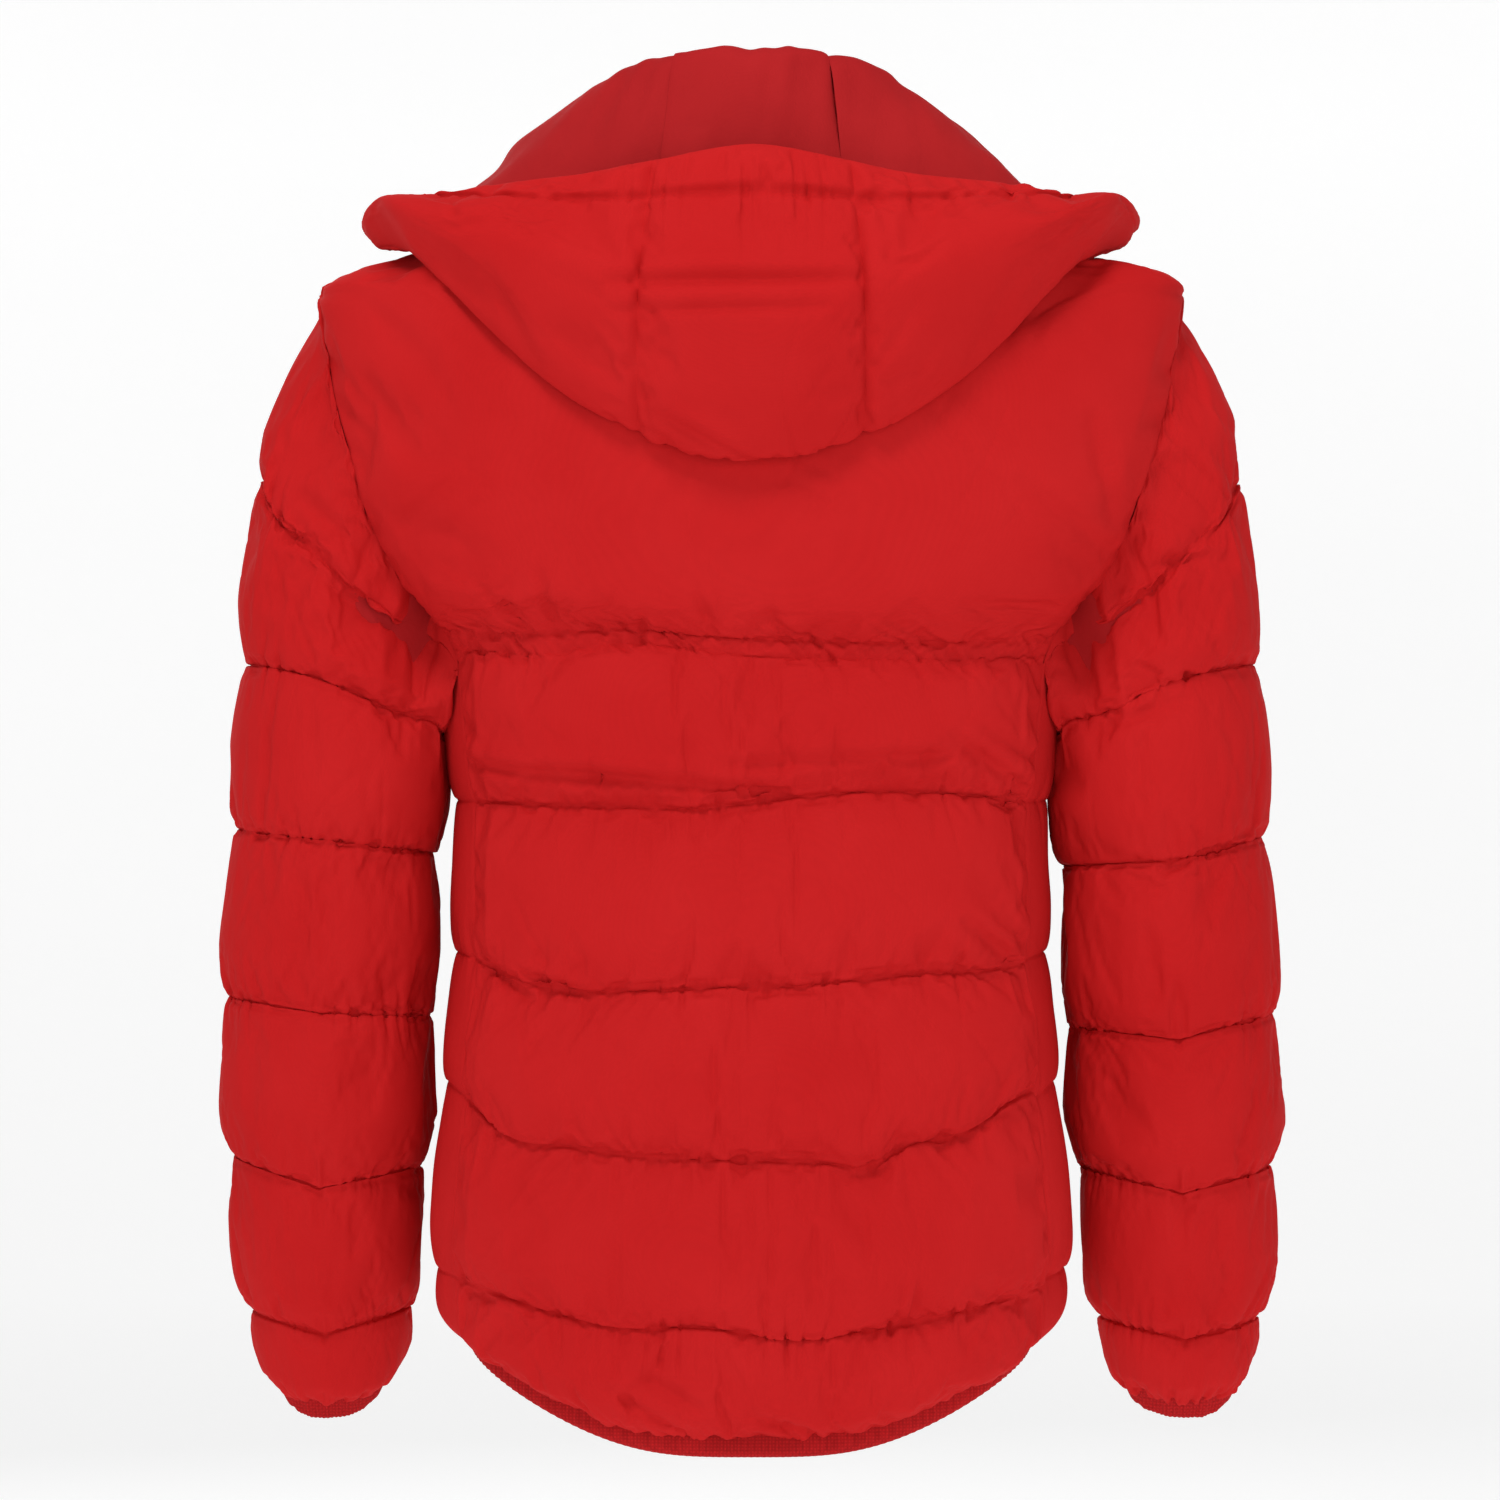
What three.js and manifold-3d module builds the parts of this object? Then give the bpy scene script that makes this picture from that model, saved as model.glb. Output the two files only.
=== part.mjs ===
// Padded ski jacket with a thrown-back hood, zipped to the chin, as it hangs on a wearer.
// Millimetres. +Z up, +Y towards the wearer's back, +X to the wearer's left.
// The body is drawn about the centre of the neck, then moved so that the hanger loop is at the origin.
// Each sewn layer is its own solid: shell fabric, wadding and lining lie one inside the other.

import * as THREE from "three";
import { mergeVertices } from "three/addons/utils/BufferGeometryUtils.js";
import Module from "manifold-3d";

const wasm = await Module();
wasm.setup();

// ---- driving sizes ----
const backLength = 722; // neck seam to hem, down the centre back
const sideRise = 52; // how much higher the hem is at the sides
const frontRise = 34; // how much higher the hem is at the front
const hemWidth = 372;
const hemBack = 126; // depth of the back half at the hem
const hemTuck = 13; // how far the elastic pulls the edge in
const hipDrop = 560;
const hipWidth = 368;
const waistDrop = 410;
const waistWidth = 340;
const waistBack = 119;
const armpitDrop = 268;
const chestWidth = 372;
const chestBack = 126;
const shoulderDrop = 62;
const shoulderWidth = 492;
const neckWidth = 172;
const neckBack = 78;
const frontNeckDrop = 60;
const frontHemDepth = 138; // centre front line at the hem, in front of the side seams
const frontTopDepth = 98; // the same line at the top of the collar
const collarBackRise = 46; // collar top above the shoulder line, at the back
const collarSideRise = 34;
const collarFrontRise = 20;

const shellThick = 2;
const backWaddingDepth = 19.4; // from the outer face to the inner face of the wadding
const frontWaddingDepth = 11; // thinner in front, where the zips and pocket bags lie behind it
const liningDepth = 21.8;
const liningThick = 1.6;
const sewGap = 0.4; // between pieces that lie face to face
const seamGap = 1; // between panels sewn edge to edge
const armholeGap = 1.2;

const sleevePadding = 12;
const cuffBindHeight = 12;
const hemBindHeight = 9;
const bindThick = 5;

const collarPadding = 6;
const hoodPadding = 4.2;
const hoodLiningDepth = 6.4; // stands off the padding a little, so that the tight fold stays clear
const hoodLiningThick = 0.9;
const hoodSeamAngle = 27; // the centre panel reaches this far to each side, in degrees round the neck

const slotHalf = 7; // half the open strip between two panel edges that a zip runs in
const toothWidth = 3;
const toothThick = 2.6;
const toothGap = 2.4; // room for the slider's bridge between the two rows
const tapeWidth = 13;
const tapeThick = 1;
const mainTapeDepth = 14.2;
const pocketTapeDepth = 13.6;
const pocketZipLength = 150;
const pocketDrop = 520; // middle of the pocket zip
const pocketTurn = 232; // its place round the body, in degrees from the left side by way of the back
const pocketSlant = 9; // top of the pocket zip leans towards the centre front, in degrees

const sliderLength = 13;
const sliderWidth = 11.6;
const plateThick = 1.2;
const pullLength = 30;
const pullWidth = 8;
const pullThick = 1.6;
const pinRadius = 0.8;
const pinGap = 0.35;
const insertThick = 1.6; // pin that goes into the box at the foot of the main zip
const boxFloor = 3;
const boxDeep = 4.4;
const tapeEnd = 5; // pocket tape past each end of its opening
const runGap = 0.45; // between the slider and what it runs on

const flapHalf = 24; // half the wind flap behind the main zip
const flapThick = 1.5;
const flapGap = 0.7; // between the slider's back and the flap
const guardHigh = 74; // chin guard, at the top of the flap
const guardGap = 2;

const labelThick = 0.8;
const bagThick = 1.6;
const bagGap = 3.2; // the bag hangs this far behind the pocket's tapes

const bindFold = 1.5; // shell edge to the binding's fold
const bindInset = 2; // how far the hem binding's outer face lies inside the shell's
const cuffInset = 3;

const loopLength = 56;
const loopWidth = 8;
const loopThick = 1.6;
const loopHeight = 17;

const { degToRad, lerp, clamp } = THREE.MathUtils;

// ---- solids from surfaces ----
const colours = {
  shell: [0xb51a1c, 0.78],
  wadding: [0xe9e6df, 0.95],
  lining: [0xa8181a, 0.7],
  binding: [0xa51618, 0.85],
  tape: [0x9c1416, 0.85],
  teeth: [0x8f1214, 0.45],
  metal: [0x7d1113, 0.4],
  label: [0xd9d6d0, 0.8],
};

function piece(name, geometry, finish) {
  const [color, roughness] = colours[finish];
  const metalness = finish === "metal" ? 0.6 : 0;
  const material = new THREE.MeshStandardMaterial({ color, roughness, metalness });
  const mesh = new THREE.Mesh(geometry, material);
  mesh.name = name;
  return mesh;
}

// The same piece on the wearer's right.
function mirrored(mesh, name) {
  const twin = mesh.clone();
  twin.name = name;
  twin.scale.x *= -1;
  twin.position.x *= -1;
  return twin;
}

function bare(geometry) {
  const plain = geometry.index ? geometry.toNonIndexed() : geometry.clone();
  const positions = new THREE.BufferGeometry().setAttribute("position", plain.getAttribute("position"));
  return mergeVertices(positions, 1e-3);
}

function toSolid(geometry) {
  const merged = bare(geometry);
  return new wasm.Manifold(
    new wasm.Mesh({
      numProp: 3,
      vertProperties: new Float32Array(merged.attributes.position.array),
      triVerts: new Uint32Array(merged.index.array),
    }),
  );
}

function toGeometry(solid) {
  const mesh = solid.getMesh();
  return new THREE.BufferGeometry()
    .setAttribute("position", new THREE.BufferAttribute(new Float32Array(mesh.vertProperties), 3))
    .setIndex(new THREE.BufferAttribute(new Uint32Array(mesh.triVerts), 1));
}

function cut(geometry, ...tools) {
  return toGeometry(tools.reduce((left, tool) => left.subtract(tool), toSolid(geometry)));
}

// Closed solid from rings of points: ring[j][i]. The rings are loops, and the two ends are capped.
function tubeOf(rings) {
  const round = rings[0].length;
  const positions = rings.flat().flatMap((p) => [p.x, p.y, p.z]);
  const index = [];
  for (let j = 0; j + 1 < rings.length; j++) {
    for (let i = 0; i < round; i++) {
      const a = j * round + i;
      const b = j * round + ((i + 1) % round);
      index.push(a, b, a + round, b, b + round, a + round);
    }
  }
  const top = (rings.length - 1) * round;
  for (let i = 1; i + 1 < round; i++) {
    index.push(0, i + 1, i, top, top + i, top + i + 1);
  }
  const made = new THREE.BufferGeometry()
    .setAttribute("position", new THREE.BufferAttribute(new Float32Array(positions), 3))
    .setIndex(index);
  return facingOut(made);
}

function facingOut(geometry) {
  if (toSolid(geometry).volume() > 0) return geometry;
  const order = geometry.index.array;
  for (let i = 0; i < order.length; i += 3) [order[i], order[i + 1]] = [order[i + 1], order[i]];
  return geometry;
}

// Outward normal of a surface at (u, v), by small steps each way.
const step = 1e-3;
function normalOf(surface, u, v) {
  const across = surface(u + step, v).sub(surface(u - step, v));
  const along = surface(u, v + step).sub(surface(u, v - step));
  return across.cross(along).normalize();
}

// One layer of cloth or padding between two depths under a surface. Loops join up with themselves.
function layer(surface, [u0, u1, nu], [v0, v1, nv], from, to, { loop = false } = {}) {
  const columns = loop ? nu : nu + 1;
  const edgeU = typeof u0 === "function" ? (v) => [u0(v), u1(v)] : () => [u0, u1];
  const faces = [from, to].map((depth) =>
    Array.from({ length: nv + 1 }, (_, j) => {
      const v = lerp(v0, v1, j / nv);
      const [start, end] = edgeU(v);
      return Array.from({ length: columns }, (_, i) => {
        const u = lerp(start, end, i / nu);
        return surface(u, v).addScaledVector(normalOf(surface, u, v), -depth);
      });
    }),
  );
  const flat = faces.flat(2).flatMap((p) => [p.x, p.y, p.z]);
  const sheet = (nv + 1) * columns;
  const at = (face, i, j) => face * sheet + j * columns + (i % columns);
  const index = [];
  const quad = (a, b, c, d) => index.push(a, b, c, a, c, d);
  for (let j = 0; j < nv; j++) {
    for (let i = 0; i < nu; i++) {
      quad(at(0, i, j), at(0, i + 1, j), at(0, i + 1, j + 1), at(0, i, j + 1));
      quad(at(1, i, j), at(1, i, j + 1), at(1, i + 1, j + 1), at(1, i + 1, j));
    }
  }
  for (let i = 0; i < nu; i++) {
    quad(at(0, i, 0), at(1, i, 0), at(1, i + 1, 0), at(0, i + 1, 0));
    quad(at(0, i, nv), at(0, i + 1, nv), at(1, i + 1, nv), at(1, i, nv));
  }
  for (let j = 0; j < nv && !loop; j++) {
    quad(at(0, 0, j), at(0, 0, j + 1), at(1, 0, j + 1), at(1, 0, j));
    quad(at(0, nu, j), at(1, nu, j), at(1, nu, j + 1), at(0, nu, j + 1));
  }
  return facingOut(
    new THREE.BufferGeometry()
      .setAttribute("position", new THREE.BufferAttribute(new Float32Array(flat), 3))
      .setIndex(index),
  );
}

// Smooth curve through evenly spaced values, for t from 0 to 1.
function smooth(values, t) {
  const last = values.length - 1;
  const x = clamp(t, -0.05, 1.05) * last;
  const i = clamp(Math.floor(x), 0, last - 1);
  const f = x - i;
  const b = values[i];
  const c = values[i + 1];
  const a = values[i - 1] ?? 2 * b - c;
  const d = values[i + 2] ?? 2 * c - b;
  return b + 0.5 * f * (c - a + f * (2 * a - 5 * b + 4 * c - d + f * (3 * (b - c) + d - a)));
}

// ---- the body ----
const frontTop = collarFrontRise;
const frontHem = -(backLength - frontRise);
const lean = Math.atan2(frontHemDepth - frontTopDepth, frontTop - frontHem);
const frontLine = (z) => frontHemDepth - (z - frontHem) * Math.tan(lean);

// Sections from the hem up. back, side and front are drops below the shoulder line.
const puffDrop = backLength - 42;
const sidePanelTop = armpitDrop - 38;
const sections = [
  {
    back: backLength,
    side: backLength - sideRise,
    front: backLength - frontRise,
    half: hemWidth / 2 - hemTuck,
    depth: hemBack - hemTuck,
    square: 2.4,
  },
  {
    back: puffDrop,
    side: puffDrop - sideRise * 0.7,
    front: puffDrop - frontRise * 0.7,
    half: hemWidth / 2,
    depth: hemBack,
    square: 2.4,
  },
  { back: hipDrop, side: hipDrop, front: hipDrop, half: hipWidth / 2, depth: hemBack, square: 2.4 },
  {
    back: waistDrop,
    side: waistDrop,
    front: waistDrop,
    half: waistWidth / 2,
    depth: waistBack,
    square: 2.4,
  },
  {
    back: armpitDrop,
    side: armpitDrop,
    front: armpitDrop,
    half: chestWidth / 2,
    depth: chestBack,
    square: 2.5,
  },
  {
    back: sidePanelTop,
    side: sidePanelTop,
    front: sidePanelTop,
    half: lerp(chestWidth, shoulderWidth, 0.36) / 2,
    depth: chestBack + 1,
    square: 2.7,
  },
  {
    back: lerp(armpitDrop, shoulderDrop, 0.5),
    side: lerp(armpitDrop, shoulderDrop, 0.5),
    front: lerp(armpitDrop, shoulderDrop, 0.47),
    half: lerp(chestWidth, shoulderWidth, 0.72) / 2,
    depth: chestBack,
    square: 2.9,
  },
  {
    back: shoulderDrop + 20,
    side: shoulderDrop,
    front: frontNeckDrop + 52,
    half: shoulderWidth / 2 - 14,
    depth: chestBack - 8,
    square: 2.6,
  },
  {
    back: shoulderDrop - 12,
    side: shoulderDrop - 20,
    front: frontNeckDrop + 32,
    half: shoulderWidth / 2 - 34,
    depth: lerp(neckBack, chestBack, 0.62),
    square: 2.4,
  },
  {
    back: 21,
    side: 18,
    front: frontNeckDrop + 15,
    half: lerp(neckWidth, shoulderWidth, 0.42) / 2,
    depth: lerp(neckBack, chestBack, 0.33),
    square: 2.2,
  },
  { back: -5, side: 2, front: frontNeckDrop, half: neckWidth / 2, depth: neckBack, square: 2 },
];
const rows = sections.length - 1;
const key = Object.fromEntries(
  Object.keys(sections[0]).map((name) => [name, sections.map((section) => section[name])]),
);
const rowOf = (index) => index / rows;

// Radius of a squared-off ellipse in the direction of turn.
function ovalRadius(turn, halfX, halfY, square) {
  const x = Math.abs(Math.cos(turn) / halfX) ** square;
  const y = Math.abs(Math.sin(turn) / halfY) ** square;
  return (x + y) ** (-1 / square);
}

// u is the turn in degrees from the left side by way of the back, v runs from hem 0 to neck 1.
function body(u, v) {
  const turn = degToRad(u);
  const behind = Math.sin(turn) > 0;
  const share = 1 - Math.cos(turn) ** 4;
  const z = -lerp(smooth(key.side, v), smooth(behind ? key.back : key.front, v), share);
  const frontDepth = frontLine(-smooth(key.front, v));
  const depth = behind ? smooth(key.depth, v) : frontDepth;
  const radius = ovalRadius(turn, smooth(key.half, v), depth, smooth(key.square, v));
  return new THREE.Vector3(radius * Math.cos(turn), radius * Math.sin(turn), z);
}

// ---- the left sleeve: rings from the armhole to the cuff ----
const sleeveOut = [
  [shoulderWidth / 2, -shoulderDrop],
  [shoulderWidth / 2 + 36, -shoulderDrop - 84],
  [shoulderWidth / 2 + 47, -shoulderDrop - 160],
  [shoulderWidth / 2 + 55, -shoulderDrop - 243],
  [shoulderWidth / 2 + 60, -shoulderDrop - 323],
  [shoulderWidth / 2 + 66, -shoulderDrop - 418],
  [shoulderWidth / 2 + 65, -shoulderDrop - 508],
  [shoulderWidth / 2 + 58, -shoulderDrop - 588],
  [shoulderWidth / 2 + 44, -shoulderDrop - 646],
];
const sleeveIn = [
  [chestWidth / 2 + 3, -armpitDrop],
  [chestWidth / 2 + 4, -armpitDrop - 24],
  [chestWidth / 2 + 3, -armpitDrop - 52],
  [chestWidth / 2 + 1, -armpitDrop - 84],
  [chestWidth / 2, -armpitDrop - 124],
  [chestWidth / 2 + 2, -armpitDrop - 218],
  [chestWidth / 2 + 8, -armpitDrop - 306],
  [chestWidth / 2 + 14, -armpitDrop - 384],
  [chestWidth / 2 + 28, -armpitDrop - 438],
];
const sleeveFlat = {
  outX: sleeveOut.map((p) => p[0]),
  outZ: sleeveOut.map((p) => p[1]),
  inX: sleeveIn.map((p) => p[0]),
  inZ: sleeveIn.map((p) => p[1]),
};
const sleeveForward = [0, 0, 0, -2, -7, -20, -38, -58, -74]; // elbow bend, along Y
const sleeveDepth = [76, 77, 74, 71, 68, 66, 61, 54, 44]; // half the sleeve's size along Y
const sleeveSquare = [2.7, 2.5, 2.3, 2.1, 2, 2, 2, 2, 2]; // 2 is an oval, and more is squarer
const headReach = 26; // how far the sleeve head goes in past the armhole's edge
const sleeveTilt = [0, 0, 0, 2, 5, 10, 13, 16, 17]; // how far each ring faces forward, in degrees
const sleeveRows = sleeveOut.length - 1;
// The sleeve swings out about this point. Head and sleeve part along a circle round it.
const swingX = 200;
const swingZ = -163;
const swingRadius = 186;
const swingGap = 1.2;

// u is the turn in degrees from the outer side by way of the front, v runs from armhole 0 to cuff 1.
function sleeve(u, v) {
  const outer = new THREE.Vector3(smooth(sleeveFlat.outX, v), 0, smooth(sleeveFlat.outZ, v));
  const inner = new THREE.Vector3(smooth(sleeveFlat.inX, v), 0, smooth(sleeveFlat.inZ, v));
  const centre = outer.clone().add(inner).multiplyScalar(0.5);
  centre.y = smooth(sleeveForward, v);
  const across = outer.sub(inner).multiplyScalar(0.5);
  const tilt = degToRad(smooth(sleeveTilt, v));
  const front = new THREE.Vector3(0, -Math.cos(tilt), Math.sin(tilt));
  front.multiplyScalar(smooth(sleeveDepth, v));
  const turn = degToRad(u);
  const reach = ovalRadius(turn, 1, 1, smooth(sleeveSquare, v));
  centre.x -= headReach * clamp(1 - v * sleeveRows, 0, 1) ** 2;
  centre.addScaledVector(across, reach * Math.cos(turn));
  return centre.addScaledVector(front, reach * Math.sin(turn));
}

// Rings round the sleeve, and the rows that both the sleeve head and its armhole follow.
const sleeveRound = 16;
const headSpan = [0.005, 3.6 / sleeveRows, 6];

// The room that a sleeve head takes up, run on into the body: the armholes are cut with it.
function armholeTool() {
  const ring = (v, inward) =>
    Array.from({ length: sleeveRound }, (_, i) => {
      const turn = (360 * i) / sleeveRound;
      const grown = sleeve(turn, v).addScaledVector(normalOf(sleeve, turn, v), armholeGap);
      return grown.add(new THREE.Vector3(-inward, 0, 0));
    });
  const [start, end, count] = headSpan;
  const steps = Array.from({ length: count + 2 }, (_, j) => start + ((end - start) * j) / count);
  const wayIn = shoulderWidth / 2 - chestWidth / 2 + 60;
  return toSolid(tubeOf([ring(start, wayIn), ...steps.map((v) => ring(v, 0))]));
}
const leftArmhole = armholeTool();
const armholes = [leftArmhole, leftArmhole.mirror([1, 0, 0])];

// ---- where the body's panels start and end, in degrees round the body ----
const sidePanelHalf = 20;
const panelGap = (v) => THREE.MathUtils.radToDeg(seamGap / 2 / smooth(key.half, v));
// The side panel ends under the arm. Above it, front and back meet along the shoulder.
const sideEdge = (v) =>
  v <= rowOf(4) ? sidePanelHalf : sidePanelHalf * clamp(1 - (v - rowOf(4)) / rowOf(2), 0, 1) ** 1.3;
const slotTurn = (v) => THREE.MathUtils.radToDeg(Math.atan2(slotHalf, frontLine(-smooth(key.front, v))));
const backEdges = [(v) => sideEdge(v) + panelGap(v), (v) => 180 - sideEdge(v) - panelGap(v)];
const leftFrontEdges = [(v) => 270 + slotTurn(v), (v) => 360 - sideEdge(v) - panelGap(v)];
const leftSideEdges = [(v) => -sideEdge(v) + panelGap(v), (v) => sideEdge(v) - panelGap(v)];

const bodySpan = [0, 1, rows];
const sideSpan = [0, rowOf(5), 5];

function bodyLayer(edges, divisions, span, from, to) {
  return layer(body, [...edges, divisions], span, from, to);
}

// ---- the zips ----
// Local frame of a zip: z along it, y into the jacket, x across it.
const cavity = toothThick + 2 * runGap;
const sliderDeep = cavity + 2 * plateThick;

function box(width, deep, high, x, y, z) {
  return new THREE.BoxGeometry(width, deep, high).translate(x, y, z);
}

function cylinderAcross(radius, length, y, z, sides = 12) {
  return new THREE.CylinderGeometry(radius, radius, length, sides).rotateZ(Math.PI / 2).translate(0, y, z);
}

const barrelRadius = pinRadius + pinGap + 0.8;
const pinAhead = barrelRadius + 0.5; // pin axis in front of the slider's face
const lugWidth = 2.4;
const lugHigh = 4.6;
const pinHeight = sliderLength * 0.62;
const earWidth = 1.7;
const earInner = lugWidth / 2 + pinGap;
const barrelLength = 2 * (earInner + earWidth);

// Slider with its lug and cross pin. z is 0 at its foot, y is 0 at the middle of the teeth.
function sliderGeometry() {
  const half = sliderWidth / 2;
  const face = sliderDeep / 2;
  const inside = cavity / 2;
  const lip = tapeThick / 2 + runGap;
  const lipIn = half - 1.1;
  const bridge = (toothGap - 2 * runGap) / 2;
  const quarter = [
    [bridge, inside],
    [lipIn, inside],
    [lipIn, lip],
    [half, lip],
    [half, face],
  ];
  const front = quarter.map(([x, y]) => [x, -y]);
  const outline = [...front.toReversed(), ...quarter];
  const left = outline.map(([x, y]) => [-x, y]).toReversed();
  const profile = new THREE.Shape([...outline, ...left].map(([x, y]) => new THREE.Vector2(x, y)));
  const bar = new THREE.ExtrudeGeometry(profile, { depth: sliderLength, bevelEnabled: false });
  const waist = half - 1.4;
  const shield = new THREE.Shape(
    [
      [-waist, 0],
      [waist, 0],
      [half + 0.1, sliderLength * 0.42],
      [half + 0.1, sliderLength - 2],
      [half - 1.6, sliderLength],
      [1.2, sliderLength - 1],
      [-1.2, sliderLength - 1],
      [-half + 1.6, sliderLength],
      [-half - 0.1, sliderLength - 2],
      [-half - 0.1, sliderLength * 0.42],
    ].map(([x, y]) => new THREE.Vector2(x, y)),
  );
  const mask = new THREE.ExtrudeGeometry(shield, { depth: sliderDeep + 2, bevelEnabled: false })
    .rotateX(Math.PI / 2)
    .translate(0, sliderDeep / 2 + 1, 0);
  const bodyOfSlider = toSolid(bar).intersect(toSolid(mask));
  const pinY = -face - pinAhead;
  const pinZ = pinHeight;
  const lugDeep = pinAhead + pinRadius + 0.3;
  const lug = box(lugWidth, lugDeep, lugHigh, 0, 0.2 - face - lugDeep / 2, pinZ);
  const pin = cylinderAcross(pinRadius, barrelLength + 0.6, pinY, pinZ);
  return toGeometry(bodyOfSlider.add(toSolid(lug)).add(toSolid(pin)));
}

// Pull tab hanging from the pin. The pin's axis is its origin.
function pullGeometry() {
  const half = pullWidth / 2;
  const notch = earInner;
  const tab = new THREE.Shape();
  tab.moveTo(-earInner - earWidth, 0);
  tab.lineTo(-half, -6);
  tab.lineTo(-half, -pullLength + half);
  tab.absarc(0, -pullLength + half, half, Math.PI, 2 * Math.PI, false);
  tab.lineTo(half, -6);
  tab.lineTo(earInner + earWidth, 0);
  tab.lineTo(notch, 0);
  tab.lineTo(notch, -lugHigh);
  tab.lineTo(-notch, -lugHigh);
  tab.lineTo(-notch, 0);
  const cutOut = { depth: pullThick, bevelEnabled: false, curveSegments: 5 };
  const plate = new THREE.ExtrudeGeometry(tab, cutOut)
    .rotateX(Math.PI / 2)
    .translate(0, pullThick / 2, 0);
  const barrel = toSolid(cylinderAcross(barrelRadius, barrelLength, 0, 0));
  const bore = toSolid(cylinderAcross(pinRadius + pinGap, barrelLength + 2, 0, 0));
  const lugRoom = toSolid(box(2 * notch, 12, 2 * lugHigh, 0, 0, 0));
  return toGeometry(toSolid(plate).add(barrel).subtract(bore).subtract(lugRoom));
}

const sliderShape = sliderGeometry();
const pullShape = pullGeometry();

// Tapes, rows of teeth, slider and pull of one zip, from z = 0 up to length.
function zip(name, length, tapeDepth, { openEnd }) {
  const group = new THREE.Group();
  const middle = tapeDepth + tapeThick / 2;
  const rowIn = toothGap / 2;
  const tapeIn = rowIn + toothWidth + sewGap;
  const endRoom = openEnd ? 12 : 3;
  const stopHigh = 3;
  const rowLength = length - endRoom - stopHigh - 2 * sewGap;
  const rowX = rowIn + toothWidth / 2;
  const rowZ = endRoom + sewGap + rowLength / 2;
  const bar = box(toothWidth, toothThick, rowLength, rowX, middle, rowZ);
  const row = piece(`${name}_left_teeth`, bar, "teeth");
  group.add(row, mirrored(row, `${name}_right_teeth`));
  if (openEnd) {
    const stripX = (tapeWidth + tapeIn) / 2;
    const strip = box(tapeWidth - tapeIn, tapeThick, length, stripX, middle, length / 2);
    const tape = piece(`${name}_left_tape`, strip, "tape");
    group.add(tape, mirrored(tape, `${name}_right_tape`));
    const stopBox = box(toothWidth, toothThick, stopHigh, rowX, middle, length - stopHigh / 2);
    const stop = piece(`${name}_left_stop`, stopBox, "metal");
    group.add(stop, mirrored(stop, `${name}_right_stop`));
    const pinWide = toothWidth - 0.4;
    const socketWide = pinWide + 2 * sewGap;
    const socketDeep = insertThick + 2 * sewGap;
    const socketZ = endRoom / 2 + boxFloor;
    const socket = toSolid(box(socketWide, socketDeep, endRoom, -rowX, middle, socketZ));
    const block = box(2 * (rowIn + toothWidth), boxDeep, endRoom - 2, 0, middle, endRoom / 2);
    group.add(piece(`${name}_box`, cut(block, socket), "metal"));
    const pinFoot = boxFloor + sewGap;
    const pinZ = (endRoom + pinFoot) / 2;
    const pin = box(pinWide, insertThick, endRoom - pinFoot, -rowX, middle, pinZ);
    group.add(piece(`${name}_insert_pin`, pin, "metal"));
  } else {
    const frame = box(2 * tapeWidth, tapeThick, length + 2 * tapeEnd, 0, middle, length / 2);
    const window = toSolid(box(2 * tapeIn, 4, length, 0, middle, length / 2));
    group.add(piece(`${name}_tape`, cut(frame, window), "tape"));
  }
  const top = length - stopHigh - sewGap - sliderLength;
  const slider = piece(`${name}_slider`, sliderShape, "metal");
  slider.position.set(0, middle, top);
  const pull = piece(`${name}_pull`, pullShape, "metal");
  pull.position.set(0, middle - sliderDeep / 2 - pinAhead, top + pinHeight);
  group.add(slider, pull);
  return group;
}

// ---- assembly ----
const jacket = new THREE.Group();

// Main zip, from the hem to the top of the collar, on one straight line down the front.
const zipFoot = frontHem + 4;
const mainLength = Math.hypot(frontTop - frontHem, frontHemDepth - frontTopDepth) - 10;
const mainZip = zip("main_zip", mainLength, mainTapeDepth, { openEnd: true });
mainZip.position.set(0, -frontLine(zipFoot), zipFoot);
mainZip.rotation.x = -lean;
const flapMiddle = mainTapeDepth + (tapeThick + sliderDeep + flapThick) / 2 + flapGap;
const flapHigh = mainLength - guardHigh - 4 * guardGap;
const flap = box(2 * flapHalf, flapThick, flapHigh, 0, flapMiddle, flapHigh / 2 + 2 * guardGap);
const guardZ = mainLength - guardHigh / 2 + guardGap;
const guard = box(1.2 * flapHalf, flapThick, guardHigh, 0, flapMiddle, guardZ);
mainZip.add(piece("wind_flap", flap, "lining"), piece("chin_guard", guard, "lining"));
jacket.add(mainZip);

// Pocket zips, each set on the front panel and turned to lie flat on it.
const pocketRow = (() => {
  let low = 0;
  let high = rowOf(4);
  for (let i = 0; i < 40; i++) {
    const v = (low + high) / 2;
    if (body(360 + 180 - pocketTurn, v).z < -pocketDrop) low = v;
    else high = v;
  }
  return low;
})();
const pocketU = 540 - pocketTurn;
const pocketPlace = body(pocketU, pocketRow);
const pocketNormal = normalOf(body, pocketU, pocketRow);
const pocketUp = body(pocketU, pocketRow + 0.01).sub(pocketPlace);
pocketUp.addScaledVector(pocketNormal, -pocketUp.dot(pocketNormal)).normalize();
pocketUp.applyAxisAngle(pocketNormal, degToRad(-pocketSlant));
const pocketIn = pocketNormal.clone().negate();
const pocketAcross = pocketIn.clone().cross(pocketUp);
const pocketFrame = new THREE.Matrix4().makeBasis(pocketAcross, pocketIn, pocketUp);
pocketFrame.setPosition(pocketPlace);
const leftPocket = zip("left_pocket_zip", pocketZipLength, pocketTapeDepth, { openEnd: false });
const zipMiddle = new THREE.Matrix4().makeTranslation(0, 0, -pocketZipLength / 2);
leftPocket.applyMatrix4(zipMiddle.premultiply(pocketFrame));
const rightPocket = new THREE.Group();
rightPocket.scale.x = -1;
const rightZip = leftPocket.clone();
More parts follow.
